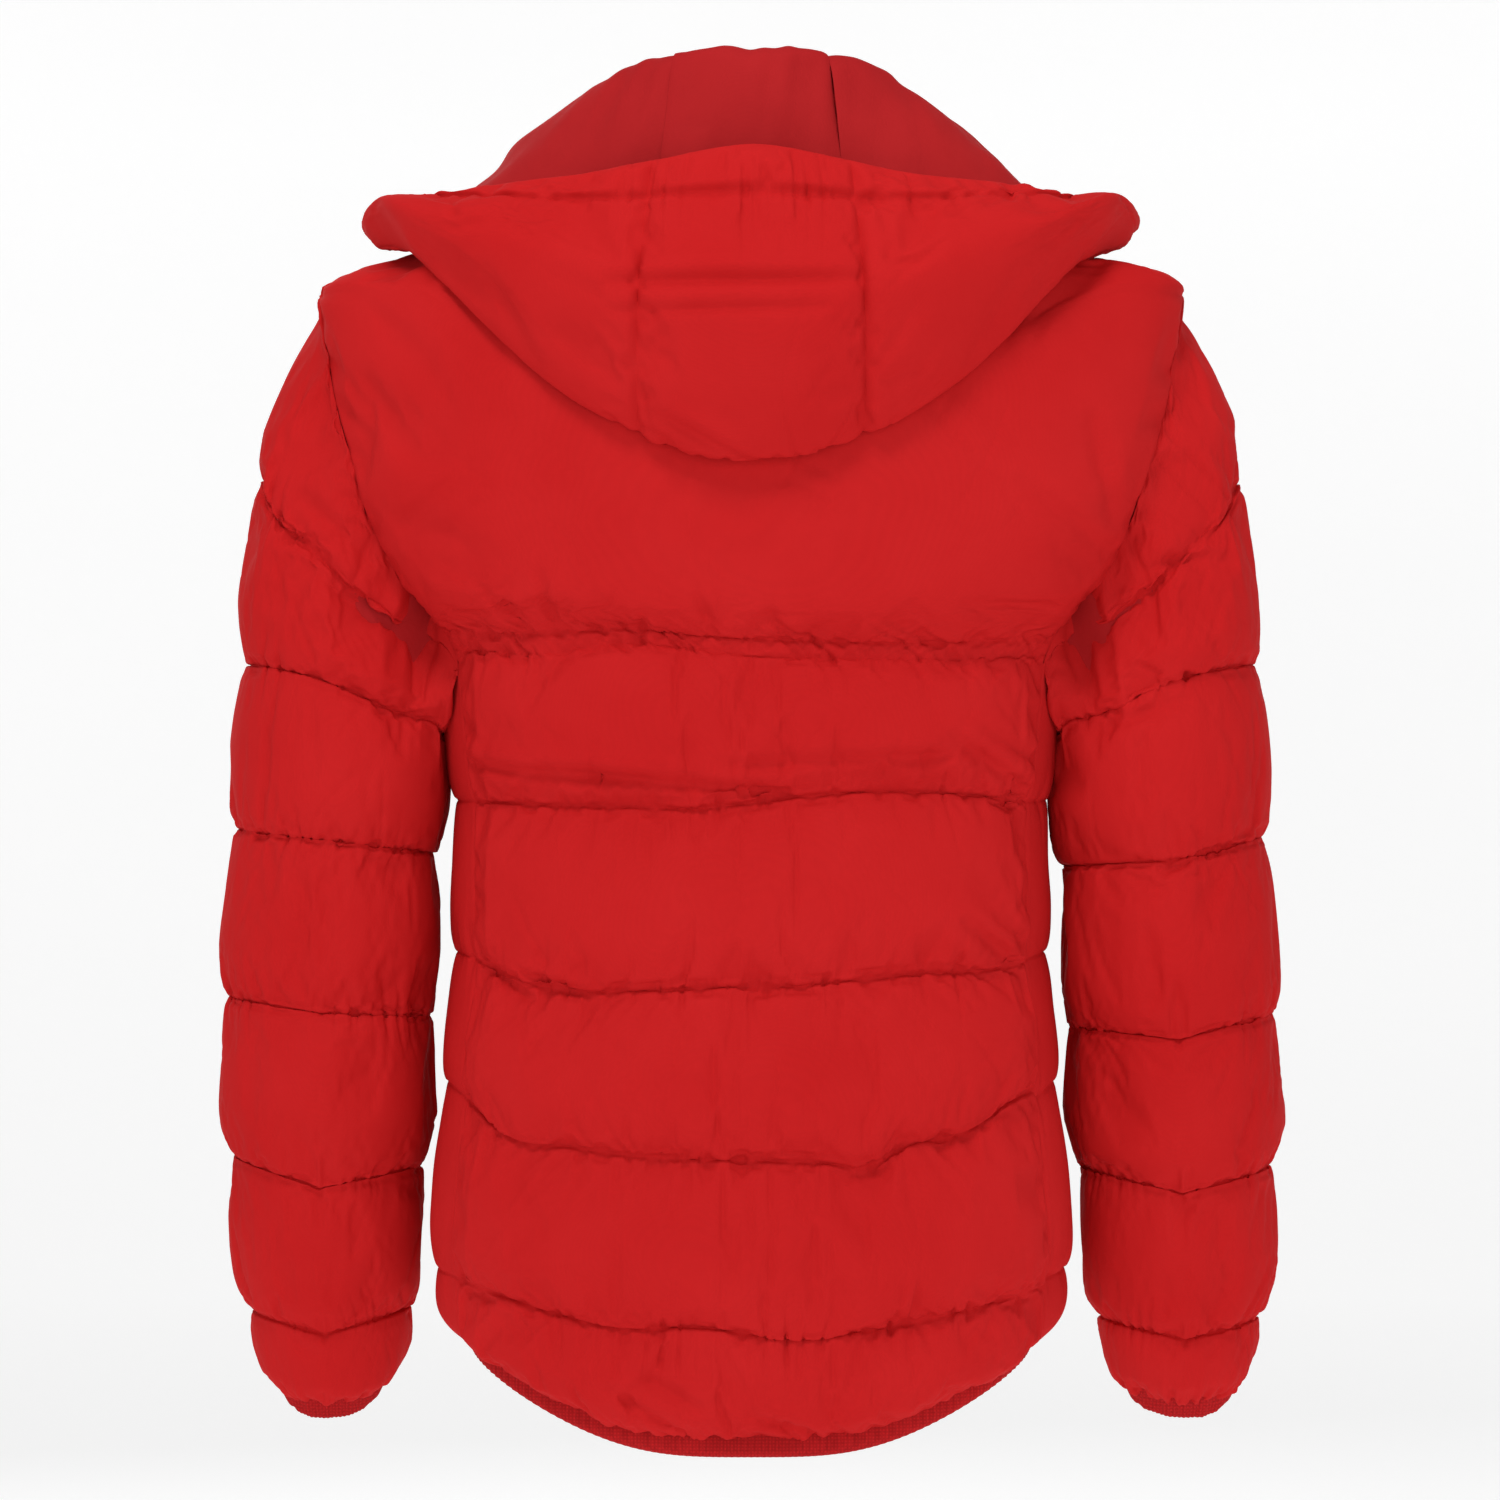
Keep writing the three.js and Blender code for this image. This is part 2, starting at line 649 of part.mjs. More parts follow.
rightZip.traverse((mesh) => {
  const [, end] = mesh.name.split("left_pocket_zip_");
  const otherSide = { left_teeth: "right_teeth", right_teeth: "left_teeth" };
  if (end) mesh.name = `right_pocket_zip_${otherSide[end] ?? end}`;
});
rightPocket.add(rightZip);
jacket.add(leftPocket, rightPocket);
const slotTool = box(2 * slotHalf + 2, 60, pocketZipLength + 4, 0, 0, 0);
const pocketSlot = toSolid(slotTool.applyMatrix4(pocketFrame));

// Shell, wadding and lining of the body.
const backShell = bodyLayer(backEdges, 12, bodySpan, 0, shellThick);
const backWadding = bodyLayer(backEdges, 12, bodySpan, shellThick + sewGap, backWaddingDepth);
jacket.add(
  piece("back_shell", cut(backShell, ...armholes), "shell"),
  piece("back_wadding", cut(backWadding, ...armholes), "wadding"),
);
const frontShell = bodyLayer(leftFrontEdges, 6, bodySpan, 0, shellThick);
const frontWadding = bodyLayer(leftFrontEdges, 6, bodySpan, shellThick + sewGap, frontWaddingDepth);
const leftFront = piece("left_front_shell", cut(frontShell, leftArmhole, pocketSlot), "shell");
const leftFrontFill = piece("left_front_wadding", cut(frontWadding, leftArmhole, pocketSlot), "wadding");
jacket.add(leftFront, mirrored(leftFront, "right_front_shell"));
jacket.add(leftFrontFill, mirrored(leftFrontFill, "right_front_wadding"));
const sideShell = bodyLayer(leftSideEdges, 4, sideSpan, 0, shellThick);
const sideWadding = bodyLayer(leftSideEdges, 4, sideSpan, shellThick + sewGap, frontWaddingDepth);
const leftSide = piece("left_side_shell", cut(sideShell, leftArmhole), "shell");
const leftSideFill = piece("left_side_wadding", cut(sideWadding, leftArmhole), "wadding");
jacket.add(leftSide, mirrored(leftSide, "right_side_shell"));
jacket.add(leftSideFill, mirrored(leftSideFill, "right_side_wadding"));

const liningEnd = liningDepth + liningThick;
const backLining = bodyLayer(backEdges, 12, bodySpan, liningDepth, liningEnd);
const frontLiningEdges = [(v) => 270 + slotTurn(v), (v) => 360 + sideEdge(v) - panelGap(v)];
const frontLining = bodyLayer(frontLiningEdges, 8, bodySpan, liningDepth, liningEnd);
const leftFrontLining = piece("left_front_lining", cut(frontLining, leftArmhole), "lining");
jacket.add(piece("back_lining", cut(backLining, ...armholes), "lining"));
jacket.add(leftFrontLining, mirrored(leftFrontLining, "right_front_lining"));

// Pocket bags between the front wadding and the lining.
const bagDepth = pocketTapeDepth + tapeThick + bagGap;
const bagAcross = [pocketU - 16, pocketU + 20, 4];
const bagUp = [rowOf(1.15), rowOf(2.7), 3];
const bag = layer(body, bagAcross, bagUp, bagDepth, bagDepth + bagThick);
const leftBag = piece("left_pocket_bag", bag, "lining");
jacket.add(leftBag, mirrored(leftBag, "right_pocket_bag"));

// Hem binding: a strip of elastic folded round the lower edge, from one side of the zip to the other.
function hemBinding() {
  const start = slotTurn(0);
  const steps = 32;
  const rings = Array.from({ length: steps + 1 }, (_, i) => {
    const u = lerp(-90 + start, 270 - start, i / steps);
    const outside = normalOf(body, u, 0.01);
    outside.z = 0;
    outside.normalize();
    const corner = (depth, drop) => {
      const p = body(u, 0).addScaledVector(outside, -depth);
      p.z -= drop;
      return p;
    };
    const top = bindFold + sewGap;
    const inner = bindInset + 2 * bindThick;
    return [
      corner(bindInset, top),
      corner(bindInset, hemBindHeight),
      corner(inner, hemBindHeight),
      corner(inner, top + 4),
    ];
  });
  return tubeOf(rings);
}
jacket.add(piece("hem_binding", hemBinding(), "binding"));

// Collar: padded outside and a lining inside, standing on the neck seam.
function collar(u, v) {
  const turn = degToRad(u);
  const behind = Math.sin(turn) > 0;
  const share = Math.sin(turn) ** 2;
  const foot = body(u, 1).z + 3;
  const top = lerp(collarSideRise, behind ? collarBackRise : collarFrontRise, share);
  const z = lerp(foot, top, v);
  const depth = behind ? neckBack - 4 * v : frontLine(z);
  const radius = ovalRadius(turn, neckWidth / 2 - 2 * v, depth, 2);
  return new THREE.Vector3(radius * Math.cos(turn), radius * Math.sin(turn), z);
}
const collarEdge = THREE.MathUtils.radToDeg(Math.atan2(slotHalf, frontTopDepth));
const collarSpan = [-90 + collarEdge, 270 - collarEdge, 24];
const collarUp = [0, 1, 2];
const collarLiningEnd = collarPadding + 1.8;
const collarOutside = layer(collar, collarSpan, collarUp, 0, collarPadding);
const collarInside = layer(collar, collarSpan, collarUp, collarPadding + sewGap, collarLiningEnd);
jacket.add(piece("collar_shell", collarOutside, "shell"), piece("collar_lining", collarInside, "lining"));

// Hanger loop and blank label inside the neck.
const loopGap = 10; // between the loop and the collar behind it
const loopY = neckBack - collarPadding - loopGap - loopWidth / 2;
const loopFoot = 10;
const arch = new THREE.Shape(
  [
    [-loopLength / 2, 0],
    [-loopLength / 2 + loopThick, 0],
    [-loopLength / 2 + loopThick, loopHeight - loopThick],
    [loopLength / 2 - loopThick, loopHeight - loopThick],
    [loopLength / 2 - loopThick, 0],
    [loopLength / 2, 0],
    [loopLength / 2, loopHeight - 1],
    [loopLength / 2 - 1, loopHeight],
    [-loopLength / 2 + 1, loopHeight],
    [-loopLength / 2, loopHeight - 1],
  ].map(([x, y]) => new THREE.Vector2(x, y)),
);
const loop = new THREE.ExtrudeGeometry(arch, { depth: loopWidth, bevelEnabled: false })
  .rotateX(Math.PI / 2)
  .translate(0, loopY + loopWidth / 2, loopFoot);
jacket.add(piece("hanger_loop", loop, "binding"));
const labelDepth = liningEnd + 3 * sewGap;
const labelAcross = [76, 104, 4];
const labelUp = [rowOf(8.4), rowOf(9.2), 2];
const label = layer(body, labelAcross, labelUp, labelDepth, labelDepth + labelThick);
jacket.add(piece("neck_label", label, "label"));

// Sleeves.
const whole = [0, 360, sleeveRound];
const swingSpan = [2.2 / sleeveRows, 1, 7];
function swingDrum(radius) {
  const drum = new THREE.CylinderGeometry(radius, radius, 400, 48);
  return toSolid(drum.translate(swingX, 0, swingZ));
}
const headRoom = swingDrum(swingRadius);
const sleeveRoom = swingDrum(swingRadius + swingGap);
const sleeveLining = sleevePadding + sewGap;
const round = (span, from, to) => layer(sleeve, whole, span, from, to, { loop: true });
const swinging = (from, to) => cut(round(swingSpan, from, to), sleeveRoom);
const head = toSolid(round(headSpan, 0, sleevePadding)).intersect(headRoom);
const sleeveParts = [
  ["sleeve_head", toGeometry(head), "shell"],
  ["sleeve_shell", swinging(0, shellThick), "shell"],
  ["sleeve_wadding", swinging(shellThick + sewGap, sleevePadding), "wadding"],
  ["sleeve_lining", swinging(sleeveLining, sleeveLining + 1.4), "lining"],
];
for (const [name, geometry, finish] of sleeveParts) {
  const left = piece(`left_${name}`, geometry, finish);
  jacket.add(left, mirrored(left, `right_${name}`));
}

// Elastic cuff binding: a band under the sleeve's open end.
function cuffBinding() {
  const steps = 16;
  const rings = Array.from({ length: steps }, (_, i) => {
    const u = (360 * i) / steps;
    const edge = sleeve(u, 1);
    const middle = sleeve(u + 180, 1).add(edge).multiplyScalar(0.5);
    const inward = middle.sub(edge).normalize();
    const down = sleeve(u, 1).sub(sleeve(u, 0.97)).normalize();
    const corner = (depth, drop) =>
      edge.clone().addScaledVector(inward, depth).addScaledVector(down, drop);
    const top = bindFold + sewGap;
    const pulledIn = cuffInset + 2;
    return [
      corner(cuffInset, top),
      corner(pulledIn, cuffBindHeight),
      corner(pulledIn + bindThick, cuffBindHeight),
      corner(cuffInset + bindThick, top),
    ];
  });
  const ring = [...rings, rings[0]];
  const flat = ring.slice(0, -1).flat();
  const index = [];
  for (let j = 0; j < steps; j++) {
    for (let i = 0; i < 4; i++) {
      const a = j * 4 + i;
      const b = j * 4 + ((i + 1) % 4);
      const c = ((j + 1) % steps) * 4 + i;
      const d = ((j + 1) % steps) * 4 + ((i + 1) % 4);
      index.push(a, b, c, b, d, c);
    }
  }
  const positions = new Float32Array(flat.flatMap((p) => [p.x, p.y, p.z]));
  return facingOut(
    new THREE.BufferGeometry()
      .setAttribute("position", new THREE.BufferAttribute(positions, 3))
      .setIndex(index),
  );
}
const leftCuff = piece("left_cuff_binding", cuffBinding(), "binding");
jacket.add(leftCuff, mirrored(leftCuff, "right_cuff_binding"));

// ---- the hood ----
// It is thrown back: a trough of cloth round the neck, deep behind and shallow over the shoulders.
// Each station lies over one section of the body: [section, lift off the surface, further rise].
// They run from the neck seam up over the nape, down inside, round the lowest fold and up to the
// face edge.
const hoodStations = [
  { behind: [10, 12, 4], quarter: [9.9, 12, 4], beside: [9.76, 8, 2], ahead: [9.76, 8, 3] },
  { behind: [9.9, 19, 60], quarter: [9.8, 19, 49], beside: [9.5, 16, 18], ahead: [9.6, 15, 8] },
  { behind: [7.6, 10, 0], quarter: [7.9, 10, 0], beside: [9, 7, 2], ahead: [9.3, 7, 0] },
  { behind: [6, 12, 0], quarter: [6.5, 11, 0], beside: [8.2, 4, 0], ahead: [8.8, 5, 0] },
  { behind: [6.5, 54, 28], quarter: [6.9, 44, 22], beside: [7.95, 21, 2], ahead: [8.6, 22, 0] },
  { behind: [8, 45, 50], quarter: [8, 36, 30], beside: [8.5, 30, 0], ahead: [9, 31, 0] },
];
const hoodEndAngle = 146; // from the centre back

// u is the same turn as on the body, v runs from neck seam 0 to face edge 1.
function hood(u, v) {
  const turn = Math.abs(u - 90);
  const place = turn < 90 ? turn / 45 : 2 + (turn - 90) / (hoodEndAngle - 90);
  const spots = hoodStations.map(({ behind, quarter, beside, ahead }) => {
    const at = (i) =>
      smooth([quarter[i], behind[i], quarter[i], beside[i], ahead[i]], (place + 1) / 4);
    const row = rowOf(at(0));
    const away = normalOf(body, u, Math.min(row, 1 - step));
    const spot = body(u, row).addScaledVector(away, at(1));
    return spot.add(new THREE.Vector3(0, 0, at(2)));
  });
  return new THREE.Vector3(
    smooth(spots.map((p) => p.x), v),
    smooth(spots.map((p) => p.y), v),
    smooth(spots.map((p) => p.z), v),
  );
}
const hoodSeamGap = 0.45;
const hoodSpan = [0, 1, 15];
const centreSpan = [90 - hoodSeamAngle, 90 + hoodSeamAngle, 4];
const sideOfHood = [90 - hoodEndAngle, 90 - hoodSeamAngle - hoodSeamGap, 8];
const hoodLayers = [
  ["panel", 0, hoodPadding, "shell"],
  ["lining", hoodLiningDepth, hoodLiningDepth + hoodLiningThick, "lining"],
];
for (const [name, from, to, finish] of hoodLayers) {
  const left = piece(`hood_left_${name}`, layer(hood, sideOfHood, hoodSpan, from, to), finish);
  jacket.add(left, mirrored(left, `hood_right_${name}`));
  jacket.add(piece(`hood_centre_${name}`, layer(hood, centreSpan, hoodSpan, from, to), finish));
}

// The underside of the loop's crest, where it bears on a hook, is the part's origin.
jacket.position.set(0, -loopY, -(loopFoot + loopHeight - loopThick));

export default jacket;
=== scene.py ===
import math

import bpy
import numpy as np
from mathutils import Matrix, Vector


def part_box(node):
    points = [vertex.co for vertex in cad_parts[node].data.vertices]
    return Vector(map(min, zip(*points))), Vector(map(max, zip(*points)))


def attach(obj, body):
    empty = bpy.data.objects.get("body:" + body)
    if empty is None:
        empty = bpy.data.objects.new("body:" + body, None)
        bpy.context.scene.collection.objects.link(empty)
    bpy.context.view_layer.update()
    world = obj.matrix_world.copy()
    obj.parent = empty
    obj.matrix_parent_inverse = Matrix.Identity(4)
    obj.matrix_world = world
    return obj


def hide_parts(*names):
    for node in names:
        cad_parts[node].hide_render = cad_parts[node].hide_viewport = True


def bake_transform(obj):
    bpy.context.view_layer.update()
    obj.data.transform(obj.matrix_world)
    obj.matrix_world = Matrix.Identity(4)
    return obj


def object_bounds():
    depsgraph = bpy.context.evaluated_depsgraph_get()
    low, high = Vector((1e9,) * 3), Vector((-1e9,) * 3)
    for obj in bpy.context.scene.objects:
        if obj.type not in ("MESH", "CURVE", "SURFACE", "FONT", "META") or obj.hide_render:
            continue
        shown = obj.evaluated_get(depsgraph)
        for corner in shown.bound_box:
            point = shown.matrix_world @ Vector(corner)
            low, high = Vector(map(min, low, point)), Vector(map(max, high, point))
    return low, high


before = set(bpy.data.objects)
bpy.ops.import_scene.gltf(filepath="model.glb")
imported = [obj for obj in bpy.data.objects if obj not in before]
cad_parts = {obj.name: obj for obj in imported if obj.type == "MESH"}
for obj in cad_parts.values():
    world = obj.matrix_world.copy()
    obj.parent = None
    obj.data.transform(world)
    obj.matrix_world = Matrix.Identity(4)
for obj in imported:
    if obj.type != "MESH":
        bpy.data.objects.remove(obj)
cadLow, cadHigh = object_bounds()

# Shapes are drawn in millimetres about the centre of the neck, then set into the frame in metres.
neckCentre = np.array([0.0, 58.0, 25.4])


def toFrame(points):
    return (np.asarray(points, float) - neckCentre) / 1000.0


# The camera stands behind the jacket, with soft lights round it.
cameraSetup = {
    "distance": 3.2,       # metres behind the jacket
    "across": 0.0006,
    "height": -0.3538,
    "width": 0.8655,       # what the frame takes in at the jacket
}

camera = bpy.data.objects.new("camera", bpy.data.cameras.new("camera"))
bpy.context.scene.collection.objects.link(camera)
camera.location = (cameraSetup["across"], cameraSetup["distance"], cameraSetup["height"])
camera.rotation_euler = (math.radians(90), 0, math.radians(180))
camera.data.lens = 36 * cameraSetup["distance"] / cameraSetup["width"]
camera.data.dof.use_dof = False
bpy.context.scene.camera = camera

lightSetup = {
    "ambient": 0.1,
    "key": (38.0, (0.5, 1.7, 2.3), 0.7),       # watts, place, size
    "fill": (9.0, (-1.2, 2.9, 0.2), 2.0),
    "top": (12.0, (0.0, 0.35, 1.9), 0.9),
    "frontFill": (26.0, (0.6, -2.6, 0.9), 2.4),
}


def addLight(name, watts, place, size):
    lamp = bpy.data.lights.new(name, "AREA")
    lamp.energy = watts
    lamp.size = size
    obj = bpy.data.objects.new(name, lamp)
    bpy.context.scene.collection.objects.link(obj)
    obj.location = place
    aim = Vector((0, 0, -0.35)) - Vector(place)
    obj.rotation_euler = aim.to_track_quat("-Z", "Y").to_euler()


for lightName in ("key", "fill", "top", "frontFill"):
    addLight(lightName, *lightSetup[lightName])
world = bpy.data.worlds.new("studio")
world.use_nodes = True
world.node_tree.nodes["Background"].inputs["Color"].default_value = (1, 1, 1, 1)
world.node_tree.nodes["Background"].inputs["Strength"].default_value = lightSetup["ambient"]
bpy.context.scene.world = world
bpy.context.scene.view_settings.view_transform = "Standard"
print("camera and lights are set")


# Materials, all made of nodes.
def newMaterial(name):
    made = bpy.data.materials.new(name)
    made.use_nodes = True
    return made, made.node_tree.nodes, made.node_tree.links


def link(links, a, out, b, into):
    links.new(a.outputs[out], b.inputs[into])


def noiseNode(nodes, scale, detail=3.0, rough=0.55):
    made = nodes.new("ShaderNodeTexNoise")
    made.inputs["Scale"].default_value = scale
    made.inputs["Detail"].default_value = detail
    made.inputs["Roughness"].default_value = rough
    return made


# Woven cloth: threads each way, small crinkles, and a slow change of shade.
def wovenCloth(name, deep, pale, look):
    made, nodes, links = newMaterial(name)
    shader = nodes["Principled BSDF"]
    shader.inputs["Specular IOR Level"].default_value = look["gloss"]
    shader.inputs["Sheen Weight"].default_value = look["sheen"]
    shader.inputs["Sheen Roughness"].default_value = 0.6
    place = nodes.new("ShaderNodeTexCoord")
    shade = noiseNode(nodes, 9.0, 4.0)
    link(links, place, "Object", shade, "Vector")
    ramp = nodes.new("ShaderNodeValToRGB")
    ramp.color_ramp.elements[0].position = 0.3
    ramp.color_ramp.elements[1].position = 0.72
    ramp.color_ramp.elements[0].color = (*deep, 1)
    ramp.color_ramp.elements[1].color = (*pale, 1)
    link(links, shade, "Fac", ramp, "Fac")
    threads = []
    for axis in ("X", "Y", "Z"):
        wave = nodes.new("ShaderNodeTexWave")
        wave.bands_direction = axis
        wave.inputs["Scale"].default_value = look["threads"]
        wave.inputs["Distortion"].default_value = 0.6
        wave.inputs["Detail"].default_value = 0.0
        link(links, place, "Object", wave, "Vector")
        threads.append(wave)
    cross = nodes.new("ShaderNodeMath")
    cross.operation = "MULTIPLY"
    link(links, threads[0], "Fac", cross, 0)
    link(links, threads[2], "Fac", cross, 1)
    side = nodes.new("ShaderNodeMath")
    side.operation = "MULTIPLY_ADD"
    link(links, threads[1], "Fac", side, 0)
    side.inputs[1].default_value = 0.5
    link(links, cross, "Value", side, 2)
    weaveShade = nodes.new("ShaderNodeMix")
    weaveShade.data_type = "RGBA"
    weaveShade.blend_type = "MULTIPLY"
    weaveShade.inputs["Factor"].default_value = look["weaveShade"]
    link(links, ramp, "Color", weaveShade, 6)
    link(links, side, "Value", weaveShade, 7)
    link(links, weaveShade, 2, shader, "Base Color")
    fine = nodes.new("ShaderNodeBump")
    fine.inputs["Strength"].default_value = look["weaveBump"]
    fine.inputs["Distance"].default_value = 0.0002
    link(links, side, "Value", fine, "Height")
    crinkle = noiseNode(nodes, look["crinkleScale"], 5.0, 0.6)
    crinkle.inputs["Distortion"].default_value = 0.7
    link(links, place, "Object", crinkle, "Vector")
    soft = nodes.new("ShaderNodeBump")
    soft.inputs["Strength"].default_value = look["crinkle"]
    soft.inputs["Distance"].default_value = 0.002
    link(links, crinkle, "Fac", soft, "Height")
    link(links, fine, "Normal", soft, "Normal")
    link(links, soft, "Normal", shader, "Normal")
    rough = nodes.new("ShaderNodeMapRange")
    rough.inputs["To Min"].default_value = look["rough"] - 0.06
    rough.inputs["To Max"].default_value = look["rough"] + 0.06
    link(links, crinkle, "Fac", rough, "Value")
    link(links, rough, "Result", shader, "Roughness")
    return made


def moulded(name, deep, pale, look):
    made, nodes, links = newMaterial(name)
    shader = nodes["Principled BSDF"]
    shader.inputs["Metallic"].default_value = look["metal"]
    place = nodes.new("ShaderNodeTexCoord")
    grain = noiseNode(nodes, look["grain"], 4.0)
    link(links, place, "Object", grain, "Vector")
    ramp = nodes.new("ShaderNodeValToRGB")
    ramp.color_ramp.elements[0].color = (*deep, 1)
    ramp.color_ramp.elements[1].color = (*pale, 1)
    link(links, grain, "Fac", ramp, "Fac")
    link(links, ramp, "Color", shader, "Base Color")
    rough = nodes.new("ShaderNodeMapRange")
    rough.inputs["To Min"].default_value = look["rough"] - 0.08
    rough.inputs["To Max"].default_value = look["rough"] + 0.1
    link(links, grain, "Fac", rough, "Value")
    link(links, rough, "Result", shader, "Roughness")
    bump = nodes.new("ShaderNodeBump")
    bump.inputs["Strength"].default_value = 0.15
    bump.inputs["Distance"].default_value = 0.0002
    link(links, grain, "Fac", bump, "Height")
    link(links, bump, "Normal", shader, "Normal")
    return made


shellLook = {"gloss": 0.05, "sheen": 0.0, "threads": 420.0, "weaveShade": 0.04, "weaveBump": 0.05,
             "crinkleScale": 70.0, "crinkle": 0.16, "rough": 0.84}
liningLook = dict(shellLook, gloss=0.06, sheen=0.0, threads=520.0, crinkle=0.22, rough=0.8)
bindingLook = dict(shellLook, threads=160.0, weaveShade=0.3, weaveBump=0.6, crinkle=0.1, rough=0.88)
redShell = wovenCloth("redShell", (0.52, 0.0115, 0.0125), (0.565, 0.0155, 0.0165), shellLook)
# the lining is the same red cloth as the shell; its darker colours are painted shade, standing in for the shade that
# falls inside the hood and the jacket
redLining = wovenCloth("redLining", (0.38, 0.012, 0.014), (0.45, 0.016, 0.018), liningLook)
ribbedBinding = wovenCloth("ribbedBinding", (0.46, 0.013, 0.015), (0.52, 0.016, 0.018), bindingLook)
zipTape = wovenCloth("zipTape", (0.34, 0.011, 0.012), (0.40, 0.014, 0.015), dict(bindingLook, threads=260.0))
labelCloth = wovenCloth("labelCloth", (0.70, 0.69, 0.66), (0.80, 0.79, 0.76), dict(bindingLook, threads=380.0))
toothLook = {"metal": 0.0, "grain": 300.0, "rough": 0.42}
metalLook = {"metal": 0.45, "grain": 420.0, "rough": 0.38}
toothPlastic = moulded("toothPlastic", (0.26, 0.009, 0.010), (0.32, 0.012, 0.013), toothLook)
redMetal = moulded("redMetal", (0.20, 0.008, 0.009), (0.26, 0.011, 0.012), metalLook)
print("materials are made")


# Helpers that make and change meshes.
def gridFaces(rows, columns, wrapAround=False, flip=False):
    row = np.arange(rows - 1)[:, None] * columns
    column = np.arange(columns if wrapAround else columns - 1)[None]
    beyond = (column + 1) % columns
    quads = np.stack([row + column, row + beyond, row + columns + beyond, row + columns + column], -1)
    quads = quads.reshape(-1, 4)
    return (quads[:, ::-1] if flip else quads).tolist()


def gridPiece(name, points, material, wrapAround=False, flip=False):
    faces = gridFaces(*points.shape[:2], wrapAround, flip)
    return meshPiece(name, toFrame(points.reshape(-1, 3)), faces, material)


def meshPiece(name, vertices, faces, material):
    data = bpy.data.meshes.new(name)
    data.from_pydata([tuple(p) for p in vertices], [], faces)
    data.update()
    obj = bpy.data.objects.new(name, data)
    bpy.context.scene.collection.objects.link(obj)
    data.materials.append(material)
    data.polygons.foreach_set("use_smooth", [True] * len(data.polygons))
    return obj


def applied(obj):
    graph = bpy.context.evaluated_depsgraph_get()
    fresh = bpy.data.meshes.new_from_object(obj.evaluated_get(graph))
    old = obj.data
    obj.modifiers.clear()
    obj.data = fresh
    fresh.name = obj.name
    bpy.data.meshes.remove(old)
    fresh.polygons.foreach_set("use_smooth", [True] * len(fresh.polygons))
    return obj


def subdivided(obj, levels=1):
    modifier = obj.modifiers.new("fine", "SUBSURF")
    modifier.levels = modifier.render_levels = levels
    return applied(obj)


def vertexArray(obj):
    flat = np.zeros(len(obj.data.vertices) * 3)
    obj.data.vertices.foreach_get("co", flat)
    return flat.reshape(-1, 3)


def setVertices(obj, points):
    obj.data.vertices.foreach_set("co", np.asarray(points, float).ravel())
    obj.data.update()


# Puffs a quilted cloth out between its held rows. hold is 1 where the stitching holds it.
def puffOut(obj, hold, setup):
    rest = vertexArray(obj)
    group = obj.vertex_groups.new(name="held")
    for level in np.unique(np.round(hold, 1)):
        if level > 0:
            group.add([int(i) for i in np.nonzero(np.round(hold, 1) == level)[0]], float(level), "REPLACE")
    cloth = obj.modifiers.new("cloth", "CLOTH")
    settings = cloth.settings
    settings.quality = setup.get("quality", 5)
    settings.mass = setup.get("mass", 0.3)
    settings.tension_stiffness = setup.get("tension", 15)
    settings.compression_stiffness = setup.get("compression", 15)
    settings.shear_stiffness = setup.get("shear", 5)
    settings.bending_stiffness = setup.get("bending", 0.2)
    settings.tension_damping = 5
    settings.compression_damping = 5
    settings.air_damping = 2
    settings.vertex_group_mass = "held"
    settings.pin_stiffness = setup.get("pin", 1.0)
    settings.shrink_min = settings.shrink_max = -setup["spare"]
    settings.use_pressure = True
    settings.uniform_pressure_force = setup["pressure"]
    settings.effector_weights.gravity = 0
    cloth.collision_settings.use_collision = False
    cloth.collision_settings.use_self_collision = False
    cloth.point_cache.frame_start = 1
    cloth.point_cache.frame_end = setup["frames"]
    scene = bpy.context.scene
    for number in range(1, setup["frames"] + 1):
        scene.frame_set(number)
    applied(obj)
    moved = vertexArray(obj) - rest
    length = np.linalg.norm(moved, axis=1, keepdims=True)
    cap = setup["cap"] / 1000.0
    setVertices(obj, rest + moved * (cap * np.tanh(length / cap) / np.maximum(length, 1e-9)))
    obj.vertex_groups.clear()
    scene.frame_set(1)
    most, usual = length.max() * 1000, length.mean() * 1000
    print(f"  {obj.name}: cloth moved {most:.1f} mm at most, {usual:.1f} mm on average")


# Smooth curve through evenly spaced values, for t from 0 to 1.
def smoothCurve(values, t):
    values = np.asarray(values, float)
    last = len(values) - 1
    x = np.clip(t, -0.05, 1.05) * last
    i = np.clip(np.floor(x).astype(int), 0, last - 1)
    f = x - i
    b, c = values[i], values[i + 1]
    a = np.where(i > 0, values[np.maximum(i - 1, 0)], 2 * b - c)
    d = np.where(i + 2 <= last, values[np.minimum(i + 2, last)], 2 * c - b)
    return b + 0.5 * f * (c - a + f * (2 * a - 5 * b + 4 * c - d + f * (3 * (b - c) + d - a)))


# Height of a smooth line through (across, height) points.
def lineThrough(points, x):
    xs = np.array([p[0] for p in points], float)
    ys = np.array([p[1] for p in points], float)
    slope = np.gradient(ys, xs)
    x = np.clip(x, xs[0], xs[-1])
    i = np.clip(np.searchsorted(xs, x) - 1, 0, len(xs) - 2)
    h = xs[i + 1] - xs[i]
    f = (x - xs[i]) / h
    return ((2 * f**3 - 3 * f**2 + 1) * ys[i] + (f**3 - 2 * f**2 + f) * h * slope[i]
            + (3 * f**2 - 2 * f**3) * ys[i + 1] + (f**3 - f**2) * h * slope[i + 1])


